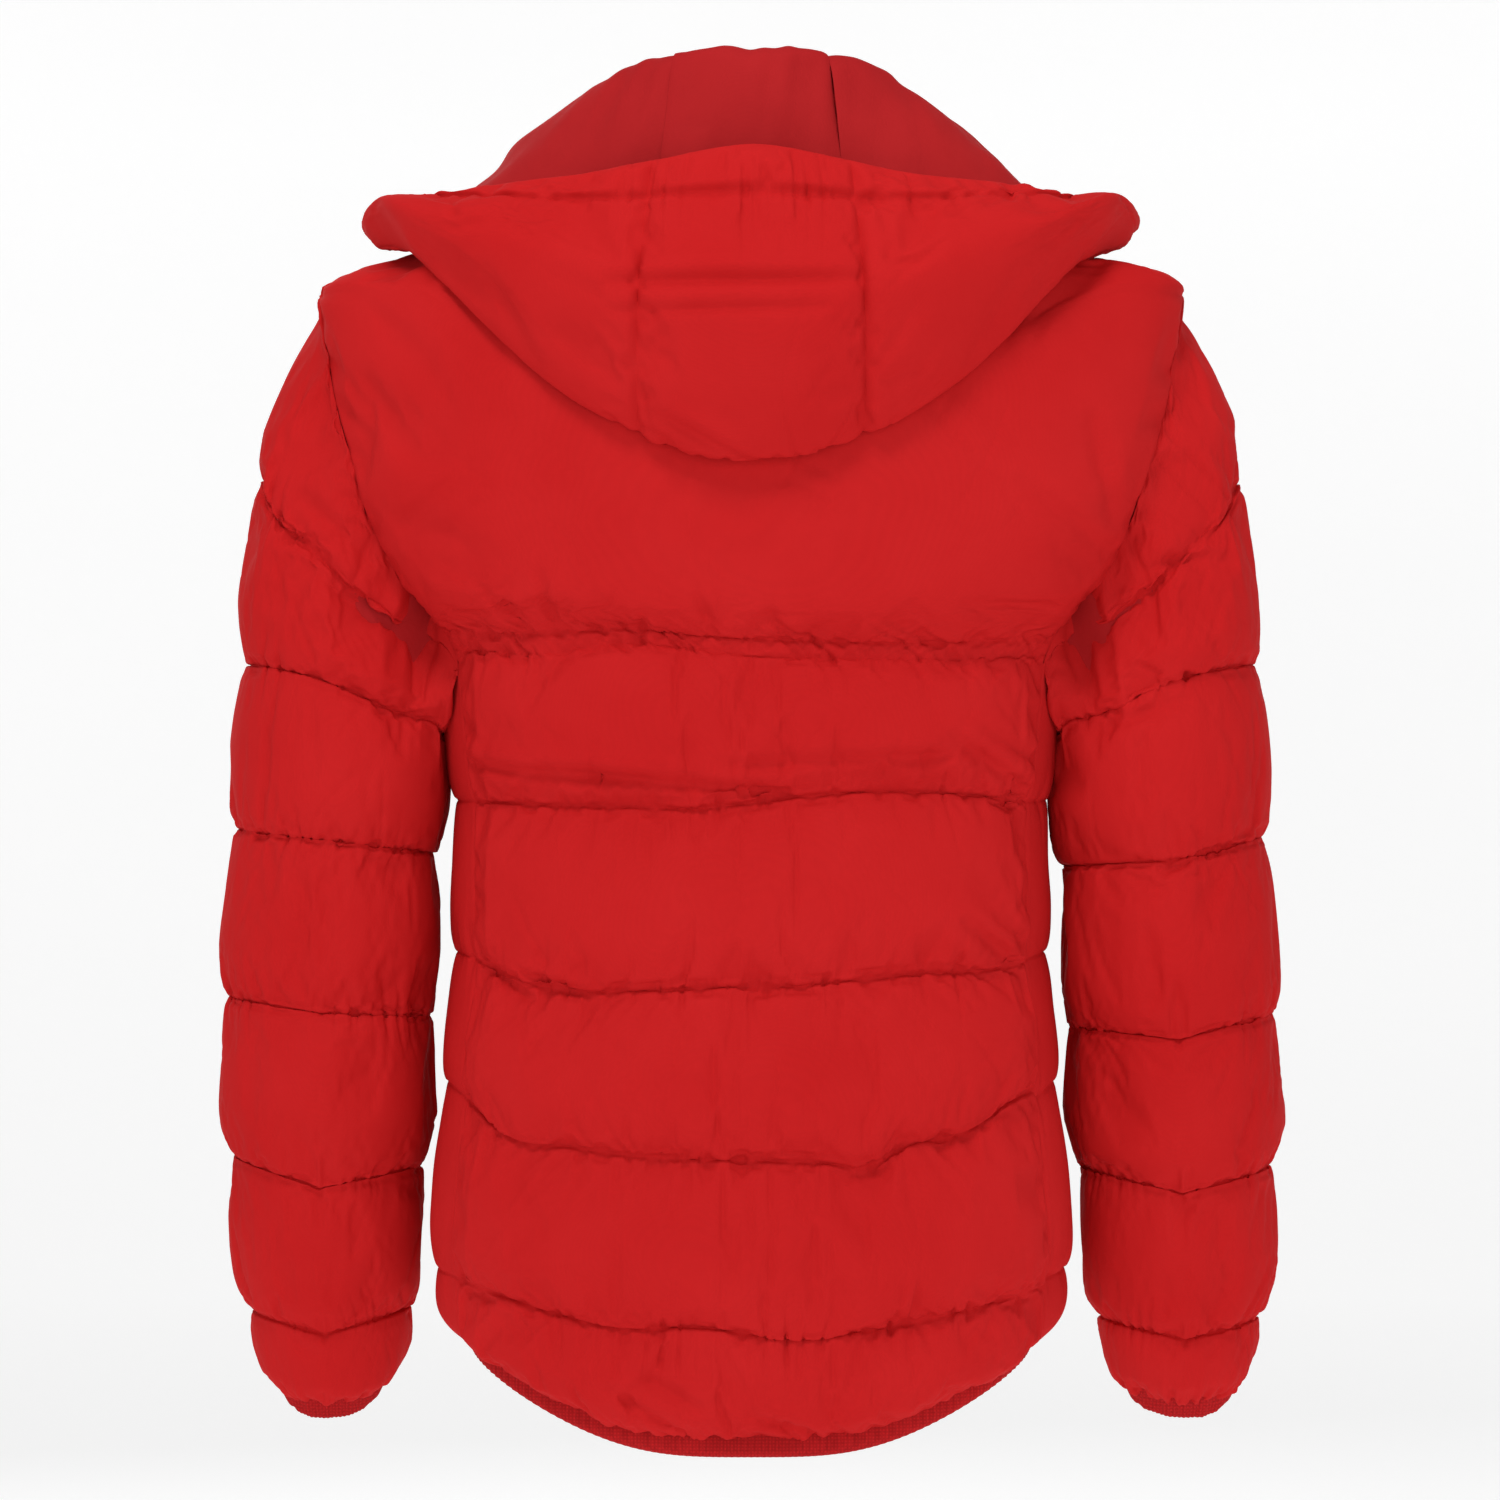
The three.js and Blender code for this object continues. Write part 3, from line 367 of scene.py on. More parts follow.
# Soft random bumps, the same on each run.
def softNoise(x, y, seed):
    table = np.random.RandomState(seed).uniform(-1, 1, (64, 64))
    xi, yi = np.floor(x).astype(int), np.floor(y).astype(int)
    fx, fy = x - xi, y - yi
    fx, fy = fx * fx * (3 - 2 * fx), fy * fy * (3 - 2 * fy)
    a, b = table[xi % 64, yi % 64], table[(xi + 1) % 64, yi % 64]
    c, d = table[xi % 64, (yi + 1) % 64], table[(xi + 1) % 64, (yi + 1) % 64]
    return (a * (1 - fx) + b * fx) * (1 - fy) + (c * (1 - fx) + d * fx) * fy


def normalsOf(points, wrapAround=False):
    if wrapAround:
        across = np.roll(points, -1, 1) - np.roll(points, 1, 1)
    else:
        across = np.gradient(points, axis=1)
    along = np.gradient(points, axis=0)
    made = np.cross(across, along)
    return made / np.maximum(np.linalg.norm(made, axis=2, keepdims=True), 1e-9)


# The body's surface: measures at eleven places, evenly spaced from the hem to the neck.
bodyShape = {
    "side": [670, 643.6, 560, 410, 268, 230, 165, 62, 42, 18, 2],
    "back": [722, 680, 560, 410, 268, 230, 165, 82, 50, 21, -5],
    "front": [688, 656.2, 560, 410, 268, 230, 161, 112, 92, 75, 60],
    "half": [172, 188, 186, 176, 189, 222, 254, 256, 216, 153, 86],
    "depth": [113, 126, 126, 119, 126, 127, 126, 118, 107.8, 93.8, 78],
    "square": [2.4, 2.4, 2.4, 2.4, 2.5, 2.6, 2.7, 2.6, 2.4, 2.2, 2.0],
    "frontHem": -688, "frontHemDepth": 138, "frontTop": 20, "frontTopDepth": 98,
}


def frontLine(z):
    s = bodyShape
    lean = (s["frontHemDepth"] - s["frontTopDepth"]) / (s["frontTop"] - s["frontHem"])
    return s["frontHemDepth"] - (z - s["frontHem"]) * lean


def ovalRadius(turn, halfX, halfY, square):
    return (np.abs(np.cos(turn) / halfX) ** square + np.abs(np.sin(turn) / halfY) ** square) ** (-1 / square)


# u is the turn in degrees from the left side by way of the back, v runs from hem 0 to neck 1.
def bodyAt(u, v):
    s = bodyShape
    turn = np.radians(u)
    behind = np.sin(turn) > 0
    share = 1 - np.cos(turn) ** 4
    rise = np.where(behind, smoothCurve(s["back"], v), smoothCurve(s["front"], v))
    side = smoothCurve(s["side"], v)
    z = -(side + (rise - side) * share)
    depth = np.where(behind, smoothCurve(s["depth"], v), frontLine(-smoothCurve(s["front"], v)))
    radius = ovalRadius(turn, smoothCurve(s["half"], v), depth, smoothCurve(s["square"], v))
    return np.stack([radius * np.cos(turn), radius * np.sin(turn), z], -1)


def solveFor(target, low, high, value, steps=34):
    low, high = np.array(low, float), np.array(high, float)
    for _ in range(steps):
        middle = (low + high) / 2
        below = value(middle) < target
        low, high = np.where(below, middle, low), np.where(below, high, middle)
    return (low + high) / 2


# Where the armholes and panels lie.
armhole = {
    "foot": 0.39,         # v of the armhole's lowest and highest points
    "top": 0.705,
    "edge": [(-290, 180), (-268, 186), (-242, 203), (-208, 219),
             (-170, 231), (-127, 243), (-92, 247), (-62, 247)],
    "sidePanel": 20,      # half the side panel, in degrees
}


# Turn of the armhole's edge behind, and 0 along the shoulder.
def armholeTurn(v):
    v = np.asarray(v, float)
    z = bodyAt(np.full_like(v, 20.0), v)[..., 2]
    wanted = lineThrough(armhole["edge"], z)
    turn = solveFor(-wanted, np.zeros_like(v), np.full_like(v, 88.0), lambda u: -bodyAt(u, v)[..., 0])
    middle = (armhole["foot"] + armhole["top"]) / 2
    reach = (armhole["top"] - armhole["foot"]) / 2
    t = np.clip((v - middle) / reach, -1, 1)
    capped = turn * (1 - np.clip(t, 0, 1) ** 5) ** 0.5
    foot = armhole["sidePanel"]
    low = np.clip(1 + t, 0, 1)
    rising = np.where(t < 0, foot + (capped - foot) * np.minimum(1, low ** 0.6), capped)
    return np.where(v > armhole["top"], 0.0, rising)


def sideTurn(v):
    return np.where(np.asarray(v) <= armhole["foot"], float(armhole["sidePanel"]), armholeTurn(v))


def zipTurn(v):
    return np.degrees(np.arctan2(7.0, frontLine(-smoothCurve(bodyShape["front"], v))))


# Stitched lines, as (across, height) behind and in front, from the hem up.
quiltBack = [
    [(-187, -640), (-140, -648), (-102, -653), (-68, -657), (-29, -661), (33, -655), (74, -656), (130, -648),
     (169, -639), (187, -632)],
    [(-184, -519), (-158, -533), (-129, -550), (-83, -557), (-70, -564), (-42, -562), (53, -559), (100, -557),
     (156, -556), (177, -533), (185, -519)],
    [(-178, -451), (-150, -456), (-96, -456), (-58, -459), (-19, -462), (23, -463), (69, -465), (133, -466),
     (169, -452), (179, -444)],
    [(-172, -358), (-132, -354), (-60, -353), (-19, -356), (23, -361), (79, -361), (160, -359), (177, -358)],
    [(-184, -275), (-158, -277), (-78, -277), (-1, -275), (72, -268), (126, -275), (179, -272), (194, -269)],
    [(-184, -265), (-158, -267), (-78, -268), (-21, -266), (23, -264), (69, -260), (118, -263), (179, -261),
     (194, -258)],
]
quiltFront = [
    [(0, -640), (60, -640), (120, -634), (187, -630)],
    [(0, -548), (60, -550), (130, -540), (187, -524)],
    [(0, -458), (60, -460), (130, -455), (187, -448)],
    [(0, -366), (60, -368), (130, -363), (187, -358)],
    [(0, -274), (60, -276), (130, -273), (187, -271)],
    [(0, -268), (60, -269), (130, -266), (187, -262)],
]
rowsBetween = [20, 22, 20, 22, 20, 4, 52]  # from the hem to each line, and the last up to the neck


# Shares of the way across a channel, closer together beside the stitching.
def crowded(count, both=True):
    t = np.arange(count) / count
    if not both:
        return t**1.5
    return t - 0.6 * np.sin(2 * np.pi * t) / (2 * np.pi) if count > 4 else t


# v of each stitched line at each column's turn, and the hem and the neck at the ends.
def lineRows(turns):
    found = [np.zeros_like(turns)]
    behind = (turns % 360) < 180
    for back, front in zip(quiltBack, quiltFront):
        x = 182 * np.cos(np.radians(turns))
        for _ in range(3):
            height = np.where(behind, lineThrough(back, x), lineThrough(front, np.abs(x)))
            sideways = np.cos(np.radians(turns)) ** 6
            atSide = np.where(x > 0, (lineThrough(back, 190) + lineThrough(front, 187)) / 2,
                              (lineThrough(back, -190) + lineThrough(front, 187)) / 2)
            height = height * (1 - sideways) + atSide * sideways
            v = solveFor(height, np.zeros_like(turns), np.full_like(turns, 0.9),
                         lambda t: bodyAt(turns, t)[..., 2])
            x = bodyAt(turns, v)[..., 0]
        found.append(v)
    found.append(np.ones_like(turns))
    return found


# Rows and columns of one panel. edges give its first and last turn at v.
def panelGrid(firstTurn, lastTurn, columns):
    counts = rowsBetween
    share = np.linspace(0, 1, columns + 1)
    fraction = np.concatenate([crowded(c, k < len(counts) - 1) for k, c in enumerate(counts)] + [[1.0]])
    band = np.concatenate([np.full(c, k) for k, c in enumerate(counts)] + [[len(counts) - 1]])
    guess = np.linspace(0, 1, sum(counts) + 1)[:, None] + 0 * share
    f = fraction[:, None]
    for _ in range(3):
        first, last = firstTurn(guess), lastTurn(guess)
        u = first + (last - first) * share
        lines = np.array(lineRows(u))  # each row follows its line at that column's own turn
        below = np.take_along_axis(lines, np.broadcast_to(band[None, :, None], (1,) + u.shape), 0)[0]
        above = np.take_along_axis(lines, np.broadcast_to(band[None, :, None] + 1, (1,) + u.shape), 0)[0]
        guess = below * (1 - f) + above * f
    first, last = firstTurn(guess), lastTurn(guess)
    u = first + (last - first) * share
    return u, guess, fraction, band


quilting = {
    "sink": 6.0,          # how deep the stitching pulls the cloth in
    "crown": 9.5,         # how far a channel stands up from its stitching
    "armholeSink": 5.0,   # how far the cloth rolls down to the armhole
    "lineSink": [1, 0.9, 1, 1, 1.15, 1.0, 0.95, 0.1],  # shares of sink at the hem, each line and the neck
    "pucker": 3.0,        # depth of the short creases at the stitching
    "crease": 0.9,        # depth of the long ones on the channels
    "sideSeam": 0.35,     # share of the fullness left at the side seams
    "spare": 0.035,       # share by which the cloth is bigger than the shape it lies on
    "pressure": 0.7,      # of the wadding
    "frames": 12,
    "cap": 6,             # furthest the simulation moves any point
}

# Folds pressed into the back: ends as (across, height), depth and width.
backFolds = [
    ((169, -335), (120, -342), 3.0, 4.0), ((120, -342), (40, -348), 4.0, 4.5),
    ((40, -348), (-20, -354), 3.0, 4.0), ((18, -338), (-60, -335), 1.6, 4.0),
    ((-60, -335), (-110, -332), 2.0, 4.0), ((-112, -322), (-165, -356), 3.0, 4.5),
    ((-130, -318), (-172, -340), 2.2, 4.0), ((-120, -427), (-152, -450), 3.0, 4.0),
    ((-138, -425), (-168, -446), 2.4, 3.5), ((130, -455), (96, -466), 2.0, 3.0),
    ((152, -454), (128, -470), 2.4, 3.0), ((140, -240), (128, -262), 2.4, 3.5),
    ((118, -225), (112, -262), 2.0, 3.5), ((30, -238), (20, -262), 1.6, 3.0),
    ((60, -250), (64, -268), 2.0, 3.0), ((-10, -248), (-22, -268), 1.5, 3.0),
    ((-60, -252), (-50, -270), 1.5, 3.0), ((80, -690), (38, -716), 2.6, 3.5),
    ((60, -684), (30, -700), 2.0, 3.5), ((0, -704), (-36, -716), 2.2, 3.5),
    ((-190, -140), (-205, -190), 2.4, 5.0), ((-150, -175), (-205, -215), 2.0, 5.0),
    ((150, -160), (205, -205), 2.0, 6.0), ((-120, -330), (-60, -345), 1.5, 4.0),
]


def foldDepth(x, z, folds):
    total = np.zeros_like(x)
    for (ax, az), (bx, bz), depth, width in folds:
        dx, dz = bx - ax, bz - az
        along = ((x - ax) * dx + (z - az) * dz) / (dx * dx + dz * dz)
        near = np.clip(along, 0, 1)
        away = np.hypot(x - ax - near * dx, z - az - near * dz)
        side = (x - ax) * dz - (z - az) * dx
        taper = np.sin(np.pi * np.clip(0.15 + 0.7 * along, 0, 1))
        beyond = np.exp(-((away - 2.1 * width) / (1.3 * width)) ** 2)
        profile = np.exp(-(away / width) ** 2) - 0.45 * beyond * (side > 0)
        total += depth * taper * profile
    return total


# A channel's outline from its lower to its upper line of stitching: it hangs, fullest low down.
def sagged(f):
    return (1 - (1 - f) ** 7) ** 0.6 * np.clip(1 - f**2.4, 0, 1) ** 0.62 * 1.06


def bodyPanel(firstTurn, lastTurn, columns, seed, edges=(1, 1), folds=()):
    u, v, fraction, band = panelGrid(firstTurn, lastTurn, columns)
    base = bodyAt(u, v)
    outward = normalsOf(base)
    f = fraction[:, None]
    last = (band == len(rowsBetween) - 1)[:, None]
    narrow = (band == len(rowsBetween) - 2)[:, None]
    q = quilting
    crown = np.where(narrow, 0.12, sagged(f))
    yoke = np.clip(f / 0.06, 0, 1) ** 0.5 * np.clip((1 - f) / 0.05, 0, 1) ** 0.7
    crown = np.where(last, yoke * 0.9, crown)
    share = np.linspace(0, 1, columns + 1)[None, :]
    fromFirst, fromLast = share * 420.0, (1 - share) * 420.0
    if columns < 100:
        fromFirst, fromLast = share * 235.0, (1 - share) * 235.0
    edge = np.ones_like(base[..., 0])
    below = np.clip((armhole["foot"] + 0.03 - v) / 0.03, 0, 1)
    for wanted, away in zip(edges, (fromFirst, fromLast)):
        if wanted:
            edge = edge * (1 - (1 - q["sideSeam"]) * (1 - np.clip(away / 22, 0, 1) ** 0.55) * below)
    depths = np.array(q["lineSink"])[:, None]
    sunk = depths[band] * (1 - f) + depths[band + 1] * f
    lift = q["sink"] * (-sunk * edge - (1 - edge)) + q["crown"] * crown * edge * (0.4 + 0.6 * sunk)
    beside = np.exp(-(fromFirst / 26) ** 2) * edges[0] + np.exp(-(fromLast / 26) ** 2) * edges[1]
    beside = beside * (1 - np.clip((armhole["foot"] + 0.01 - v) / 0.01, 0, 1))
    lift = lift * (1 - beside) - q["armholeSink"] * beside
    # puckers that run up and down from each line of stitching
    height = base[..., 2]
    toLine = np.minimum(f, np.where(last, 9.0, 1 - f)) * np.where(last, 265.0, np.where(narrow, 10.0, 95.0))
    steps = np.linalg.norm(np.diff(base, axis=1), axis=2)
    x = np.cumsum(np.concatenate([0 * base[:, :1, 0], steps], 1), 1) + 300
    slow = softNoise(x / 60.0, height / 38.0, seed + 3) + 0.5 * softNoise(x / 28.0, base[..., 2] / 20.0, seed + 4)
    lift = lift + 1.3 * slow * crown * edge
    hemGather = np.exp(-(base[..., 2] - base[:1, :, 2]) / 16.0)
    lift = lift - 2.0 * hemGather
    # finer than the cloth's own grid
    away = np.minimum(np.where(edges[0], fromFirst, 99), np.where(edges[1], fromLast, 99)) + 0 * x
    away, across, x, height, toLine = (denser(a) for a in (away, base[..., 0], x, height, toLine))
    hemGather = denser(hemGather)
    inside = np.clip(away / 5, 0, 1)
    detail = puckers(x, height, toLine, seed) * q["pucker"] + wander(x, height, seed + 20) * q["crease"]
    if len(folds):
        detail = detail - 1.4 * foldDepth(across, height, folds)
    detail = detail + hemGather * 1.6 * softNoise(x / 6.0, np.zeros_like(x), seed + 5)
    detail = detail - 0.7 * softNoise(away * 0, height / 9.0, seed + 30) * np.exp(-away / 8)
    detail = detail * inside
    hold = np.zeros_like(lift)
    hold[(band != len(rowsBetween) - 1) & (fraction == 0)] = 1
    hold[0] = hold[-1] = 1
    firstTop = int(np.argmax(band == len(rowsBetween) - 1))
    hold[firstTop] = 0.9
    hold[:, 0] = hold[:, -1] = 1
    return base + outward * lift[..., None], hold, detail


# A crease wherever soft noise passes through nought, 1 at its bottom.
def creases(x, y, seed, sharp):
    return np.clip(1 - np.abs(softNoise(x, y, seed)) * sharp, 0, 1)


# Short creases across a line of stitching, in groups. toLine is the distance from it.
def puckers(x, height, toLine, seed):
    toLine = np.maximum(toLine, 0)
    slant = 0.5 * softNoise(x / 70.0, height / 90.0, seed + 6) * toLine
    groups = np.clip(0.5 + 1.2 * softNoise(x / 30.0, height / 70.0, seed + 2), 0.1, 1)
    reach = 7 + 16 * np.clip(softNoise(x / 19.0, height / 60.0, seed + 9) + 0.3, 0, 1)
    long = creases((x + slant) / 10.0, height / 160.0, seed, 3.0) * np.exp(-(toLine / reach) ** 1.4)
    short = creases((x - slant) / 5.5, height / 120.0, seed + 1, 2.6) * np.exp(-toLine / 6.0)
    return groups * (0.3 * np.exp(-toLine / reach) - long - 0.5 * short)


# Long soft creases that wander over the fabric, here and there.
def wander(x, y, seed):
    there = np.clip(2.2 * softNoise(x / 52.0, y / 46.0, seed) - 0.25, 0, 1)
    bent = 9 * softNoise(x / 40.0, y / 40.0, seed + 1)
    return -there * (creases((x + 0.7 * y + bent) / 24.0, (y - 0.5 * x) / 70.0, seed + 2, 4.5)
                     + 0.6 * creases((x - 0.9 * y) / 17.0, (y + bent) / 60.0, seed + 3, 4.0))


# Values on a grid of more rows and columns, through the same points.
def denser(values, wrapAround=False, times=3):
    def along(a, closed):
        spans = len(a) if closed else len(a) - 1
        ends = (a[-1:], a[:2]) if closed else (2 * a[:1] - a[1:2], 2 * a[-1:] - a[-2:-1])
        padded = np.concatenate([ends[0], a, ends[1]])
        b, c, d, e = (padded[k:k + spans] for k in range(4))
        made = [0.5 * (2 * c + (d - b) * t + (2 * b - 5 * c + 4 * d - e) * t**2 + (3 * c - b - 3 * d + e) * t**3)
                for t in np.arange(times) / times]
        made = np.stack(made, 1).reshape((spans * times,) + a.shape[1:])
        return made if closed else np.concatenate([made, a[-1:]])
    down = along(np.asarray(values, float), False)
    return np.swapaxes(along(np.swapaxes(down, 0, 1), wrapAround), 0, 1)


# Gives a settled cloth three times the rows and columns, and adds detail, in millimetres, along its normals.
def addDetail(obj, shape, detail, wrapAround=False, flip=False):
    points = denser(vertexArray(obj).reshape(shape + (3,)), wrapAround)
    away = normalsOf(points, wrapAround) * (-1 if flip else 1)
    points = points + away * detail[..., None] / 1000.0
    old = obj.data
    data = bpy.data.meshes.new(obj.name)
    data.from_pydata(points.reshape(-1, 3).tolist(), [], gridFaces(*points.shape[:2], wrapAround, flip))
    data.materials.append(old.materials[0])
    data.polygons.foreach_set("use_smooth", [True] * len(data.polygons))
    obj.data = data
    bpy.data.meshes.remove(old)


def finishQuilt(obj, hold, detail, body, nodes, flip=False, setup=quilting):
    puffOut(obj, hold.ravel(), setup)
    addDetail(obj, hold.shape, detail, flip=flip)
    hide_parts(*nodes)
    if body:
        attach(obj, body)


# The five quilted panels of the body.
backEdgeRight = lambda v: 180 - sideTurn(v)
points, hold, detail = bodyPanel(sideTurn, backEdgeRight, 116, 11, folds=backFolds)
backQuilt = gridPiece("backQuilt", points, redShell)
finishQuilt(backQuilt, hold, detail, "jacket", ["back_shell", "back_wadding"])

for side, sign, seed in (("left", 1, 23), ("right", -1, 37)):
    # the front is drawn on the left and mirrored
    first = lambda v: 270 + zipTurn(v)
    last = lambda v: 360 - sideTurn(v)
    points, hold, detail = bodyPanel(first, last, 60, seed, edges=(0, 1))
    turnIn = points[:, :1] + np.array([0, 8.0, 0])
    points = np.concatenate([turnIn, points], 1)
    hold = np.concatenate([hold[:, :1], hold], 1)
    detail = np.concatenate([0 * detail[:, :1]] * 3 + [detail], 1)
    if sign < 0:
        points = points * np.array([-1, 1, 1])
    front = gridPiece(side + "FrontQuilt", points, redShell, flip=sign < 0)
    finishQuilt(front, hold, detail, "jacket", [side + "_front_shell", side + "_front_wadding"], flip=sign < 0)

    # side panel, from the hem up to the foot of the armhole
    first, last = (lambda v, end=end: np.full_like(v, end * float(armhole["sidePanel"])) for end in (-1, 1))
    u, v, fraction, band = panelGrid(first, last, 26)
    total = sum(rowsBetween[:5])
    cut = v[:total + 1].copy()
    # squeeze the top channel so that it ends at the armhole
    k = sum(rowsBetween[:4])
    span = np.append(crowded(rowsBetween[4]), 1.0)[:, None]
    cut[k:] = v[k] + (armhole["foot"] - v[k]) * span
    u = u[:total + 1]
    base = bodyAt(u, cut)
    outward = normalsOf(base)
    f = fraction[:total + 1].copy()
    f[-1] = 1.0
    crown = sagged(f[:, None])
    shareAcross = np.linspace(0, 1, 27)[None]
    edge = np.clip(np.minimum(shareAcross, 1 - shareAcross) * 100 / 22, 0, 1) ** 0.55
    q = quilting
    least = q["sideSeam"] / 0.6
    edge = least + (1 - least) * edge + 0 * u
    lift = -q["sink"] + 0.6 * q["crown"] * crown * edge
    toLine = np.minimum(f, 1 - f)[:, None] * 95 + 0 * u
    away = np.minimum(shareAcross, 1 - shareAcross) * 100 + 0 * u
    fineTurn, fineHeight, toLine, away = (denser(a) for a in (u * 2.6 + 300, base[..., 2], toLine, away))
    detail = q["pucker"] * puckers(fineTurn, fineHeight, toLine, seed + 7) * np.clip(away / 5, 0, 1)
    lift += 1.2 * softNoise(u / 15.0 + 40, base[..., 2] / 30.0, seed + 8) * crown * edge
    hold = np.zeros_like(lift)
    hold[f == 0] = 1
    hold[0] = hold[-1] = 1
    hold[:, 0] = hold[:, -1] = 1
    points = base + outward * lift[..., None]
    # seam allowance behind its neighbours
    tucked = bodyAt(u + np.sign(u) * 2.2, cut) - outward * (q["sink"] + 3.0)
    points = np.concatenate([tucked[:, :1], points, tucked[:, -1:]], 1)
    above = bodyAt(np.clip(u[-1:], -20, 20), cut[-1:] + 0.012) - outward[-1:] * 9.0
    above = np.concatenate([above[:, :1], above, above[:, -1:]], 1)
    points = np.concatenate([points, above])
    hold = np.pad(hold, ((0, 1), (1, 1)), constant_values=1)
    detail = np.pad(detail, ((0, 3), (3, 3)))
    if sign < 0:
        points = points * np.array([-1, 1, 1])
    sidePanel = gridPiece(side + "SideQuilt", points, redShell, flip=sign < 0)
    finishQuilt(sidePanel, hold, detail, "jacket", [side + "_side_shell", side + "_side_wadding"], flip=sign < 0)
print("body panels are made")


# Sleeves: measures at nine places, evenly spaced from the armhole to the cuff.
sleeveShape = {
    "outX": [246, 282, 293, 301, 306, 312, 311, 304, 290],
    "outZ": [-62, -146, -222, -305, -385, -480, -570, -650, -708],
    "inX": [189, 183, 177, 177, 183, 187, 193, 199, 212],
    "inZ": [-268, -292, -320, -352, -392, -486, -574, -652, -706],
    "forward": [0, 0, 0, -2, -7, -20, -38, -58, -74],
    "depth": [76, 77, 74, 71, 68, 66, 61, 54, 44],
    "tilt": [0, 0, 0, 2, 5, 10, 13, 16, 17],
    "square": [2.7, 2.5, 2.3, 2.1, 2, 2, 2, 2, 2],
}


# u is the turn in degrees from the outer side by way of the front, v runs from armhole 0 to cuff 1.
def sleeveAt(u, v):
    s = sleeveShape
    turn = np.radians(u)
    outer = np.stack([smoothCurve(s["outX"], v), 0 * v, smoothCurve(s["outZ"], v)], -1)
    inner = np.stack([smoothCurve(s["inX"], v), 0 * v, smoothCurve(s["inZ"], v)], -1)
    centre = (outer + inner) / 2
    centre[..., 1] = smoothCurve(s["forward"], v)
    across = (outer - inner) / 2
    tilt = np.radians(smoothCurve(s["tilt"], v))
    depth = smoothCurve(s["depth"], v)
    front = np.stack([0 * v, -np.cos(tilt) * depth, np.sin(tilt) * depth], -1)
    reach = ovalRadius(turn, 1.0, 1.0, smoothCurve(s["square"], v))
    return centre + across * (reach * np.cos(turn))[..., None] + front * (reach * np.sin(turn))[..., None]


# The armhole's edge, at the sleeve's own turns: up the back of the body, over the shoulder and down the front.
def armholeLoop(turns, depth=0.0):
    dense = np.linspace(armhole["foot"], armhole["top"], 240)
    edge = armholeTurn(dense)
    step = 0.4
    def surface(u, v):
        p = bodyAt(u, v)
        across = bodyAt(u + step, v) - bodyAt(u - step, v)
        along = bodyAt(u, v + 0.002) - bodyAt(u, v - 0.002)
        n = np.cross(across, along)
        return p - n / np.linalg.norm(n, axis=-1, keepdims=True) * depth
    foot = np.linspace(0, armhole["sidePanel"], 14)[:-1]
    back = np.concatenate([surface(foot, np.full_like(foot, armhole["foot"])), surface(edge, dense)])
    front = np.concatenate([surface(-foot, np.full_like(foot, armhole["foot"])), surface(-edge, dense)])
    def spaced(path, share):
        gap = np.linalg.norm(np.diff(path, axis=0), axis=1)
        run = np.concatenate([[0], np.cumsum(gap)]) / gap.sum()
        return np.stack([np.interp(share, run, path[:, k]) for k in range(3)], -1)
    result = np.zeros((len(turns), 3))
    for n, turn in enumerate(turns % 360):
        if turn <= 180:
            result[n] = spaced(front, np.array([1 - turn / 180]))[0]
        else:
            result[n] = spaced(back, np.array([(turn - 180) / 180]))[0]
    return result


sleeveQuilt = {
    # each line as its share of the way down outside and inside, or its height outside, between and inside
    "left": [(0.165, 0.02), (0.335, 0.235),
             (-375, -382, -389), (-474, -482, -485), (-570, -586, -576), (-664, -675, -662)],
    "right": [(0.168, 0.02), (0.335, 0.235),
              (-380, -393, -397), (-484, -497, -492), (-576, -589, -577), (-668, -678, -668)],
    "rows": [18, 18, 16, 22, 22, 20, 13],
    "columns": 116,
    "sink": 5.0, "crown": 7.5, "pucker": 2.8,
    "spare": 0.04, "pressure": 0.7, "frames": 12, "cap": 5,
}
sleeveFolds = {
    "left": [((262, -180), (225, -215), 3.5, 5.0), ((258, -222), (196, -262), 3.5, 5.0),
             ((285, -200), (258, -180), 1.5, 5.0)],
    "right": [((250, -300), (195, -318), 3.0, 4.5), ((262, -215), (228, -226), 2.5, 4.0)],
}


def sleeveRows(turns, lines):
    c = np.cos(np.radians(turns))
    found = [np.zeros_like(turns)]
    for spec in lines:
        if len(spec) == 2:
            out, inn = spec
            found.append(inn + (out - inn) * (1 + c) / 2)
        else:
            out, mid, inn = spec
            z = np.where(c > 0, mid + (out - mid) * c, mid + (inn - mid) * -c)
            found.append(solveFor(-z, np.full_like(turns, 0.05), np.full_like(turns, 1.0),
                                  lambda t: -sleeveAt(turns, t)[..., 2]))
    found.append(np.ones_like(turns))
    return found


def sleeveSurface(turns, rows, depth, loopDepth):
    loop = armholeLoop(turns, loopDepth)
    start = sleeveAt(turns, np.zeros_like(turns))
    v = rows
    u = np.broadcast_to(turns, v.shape)
    base = sleeveAt(u, v)
    away = normalsOf(base, True)
    base = base - away * depth
    fade = np.clip(v / 0.38, 0, 1)
    fade = 1 - fade * fade * (3 - 2 * fade)
    firstRow = start - away[0] * depth
    return base + (loop - firstRow)[None] * fade[..., None], away


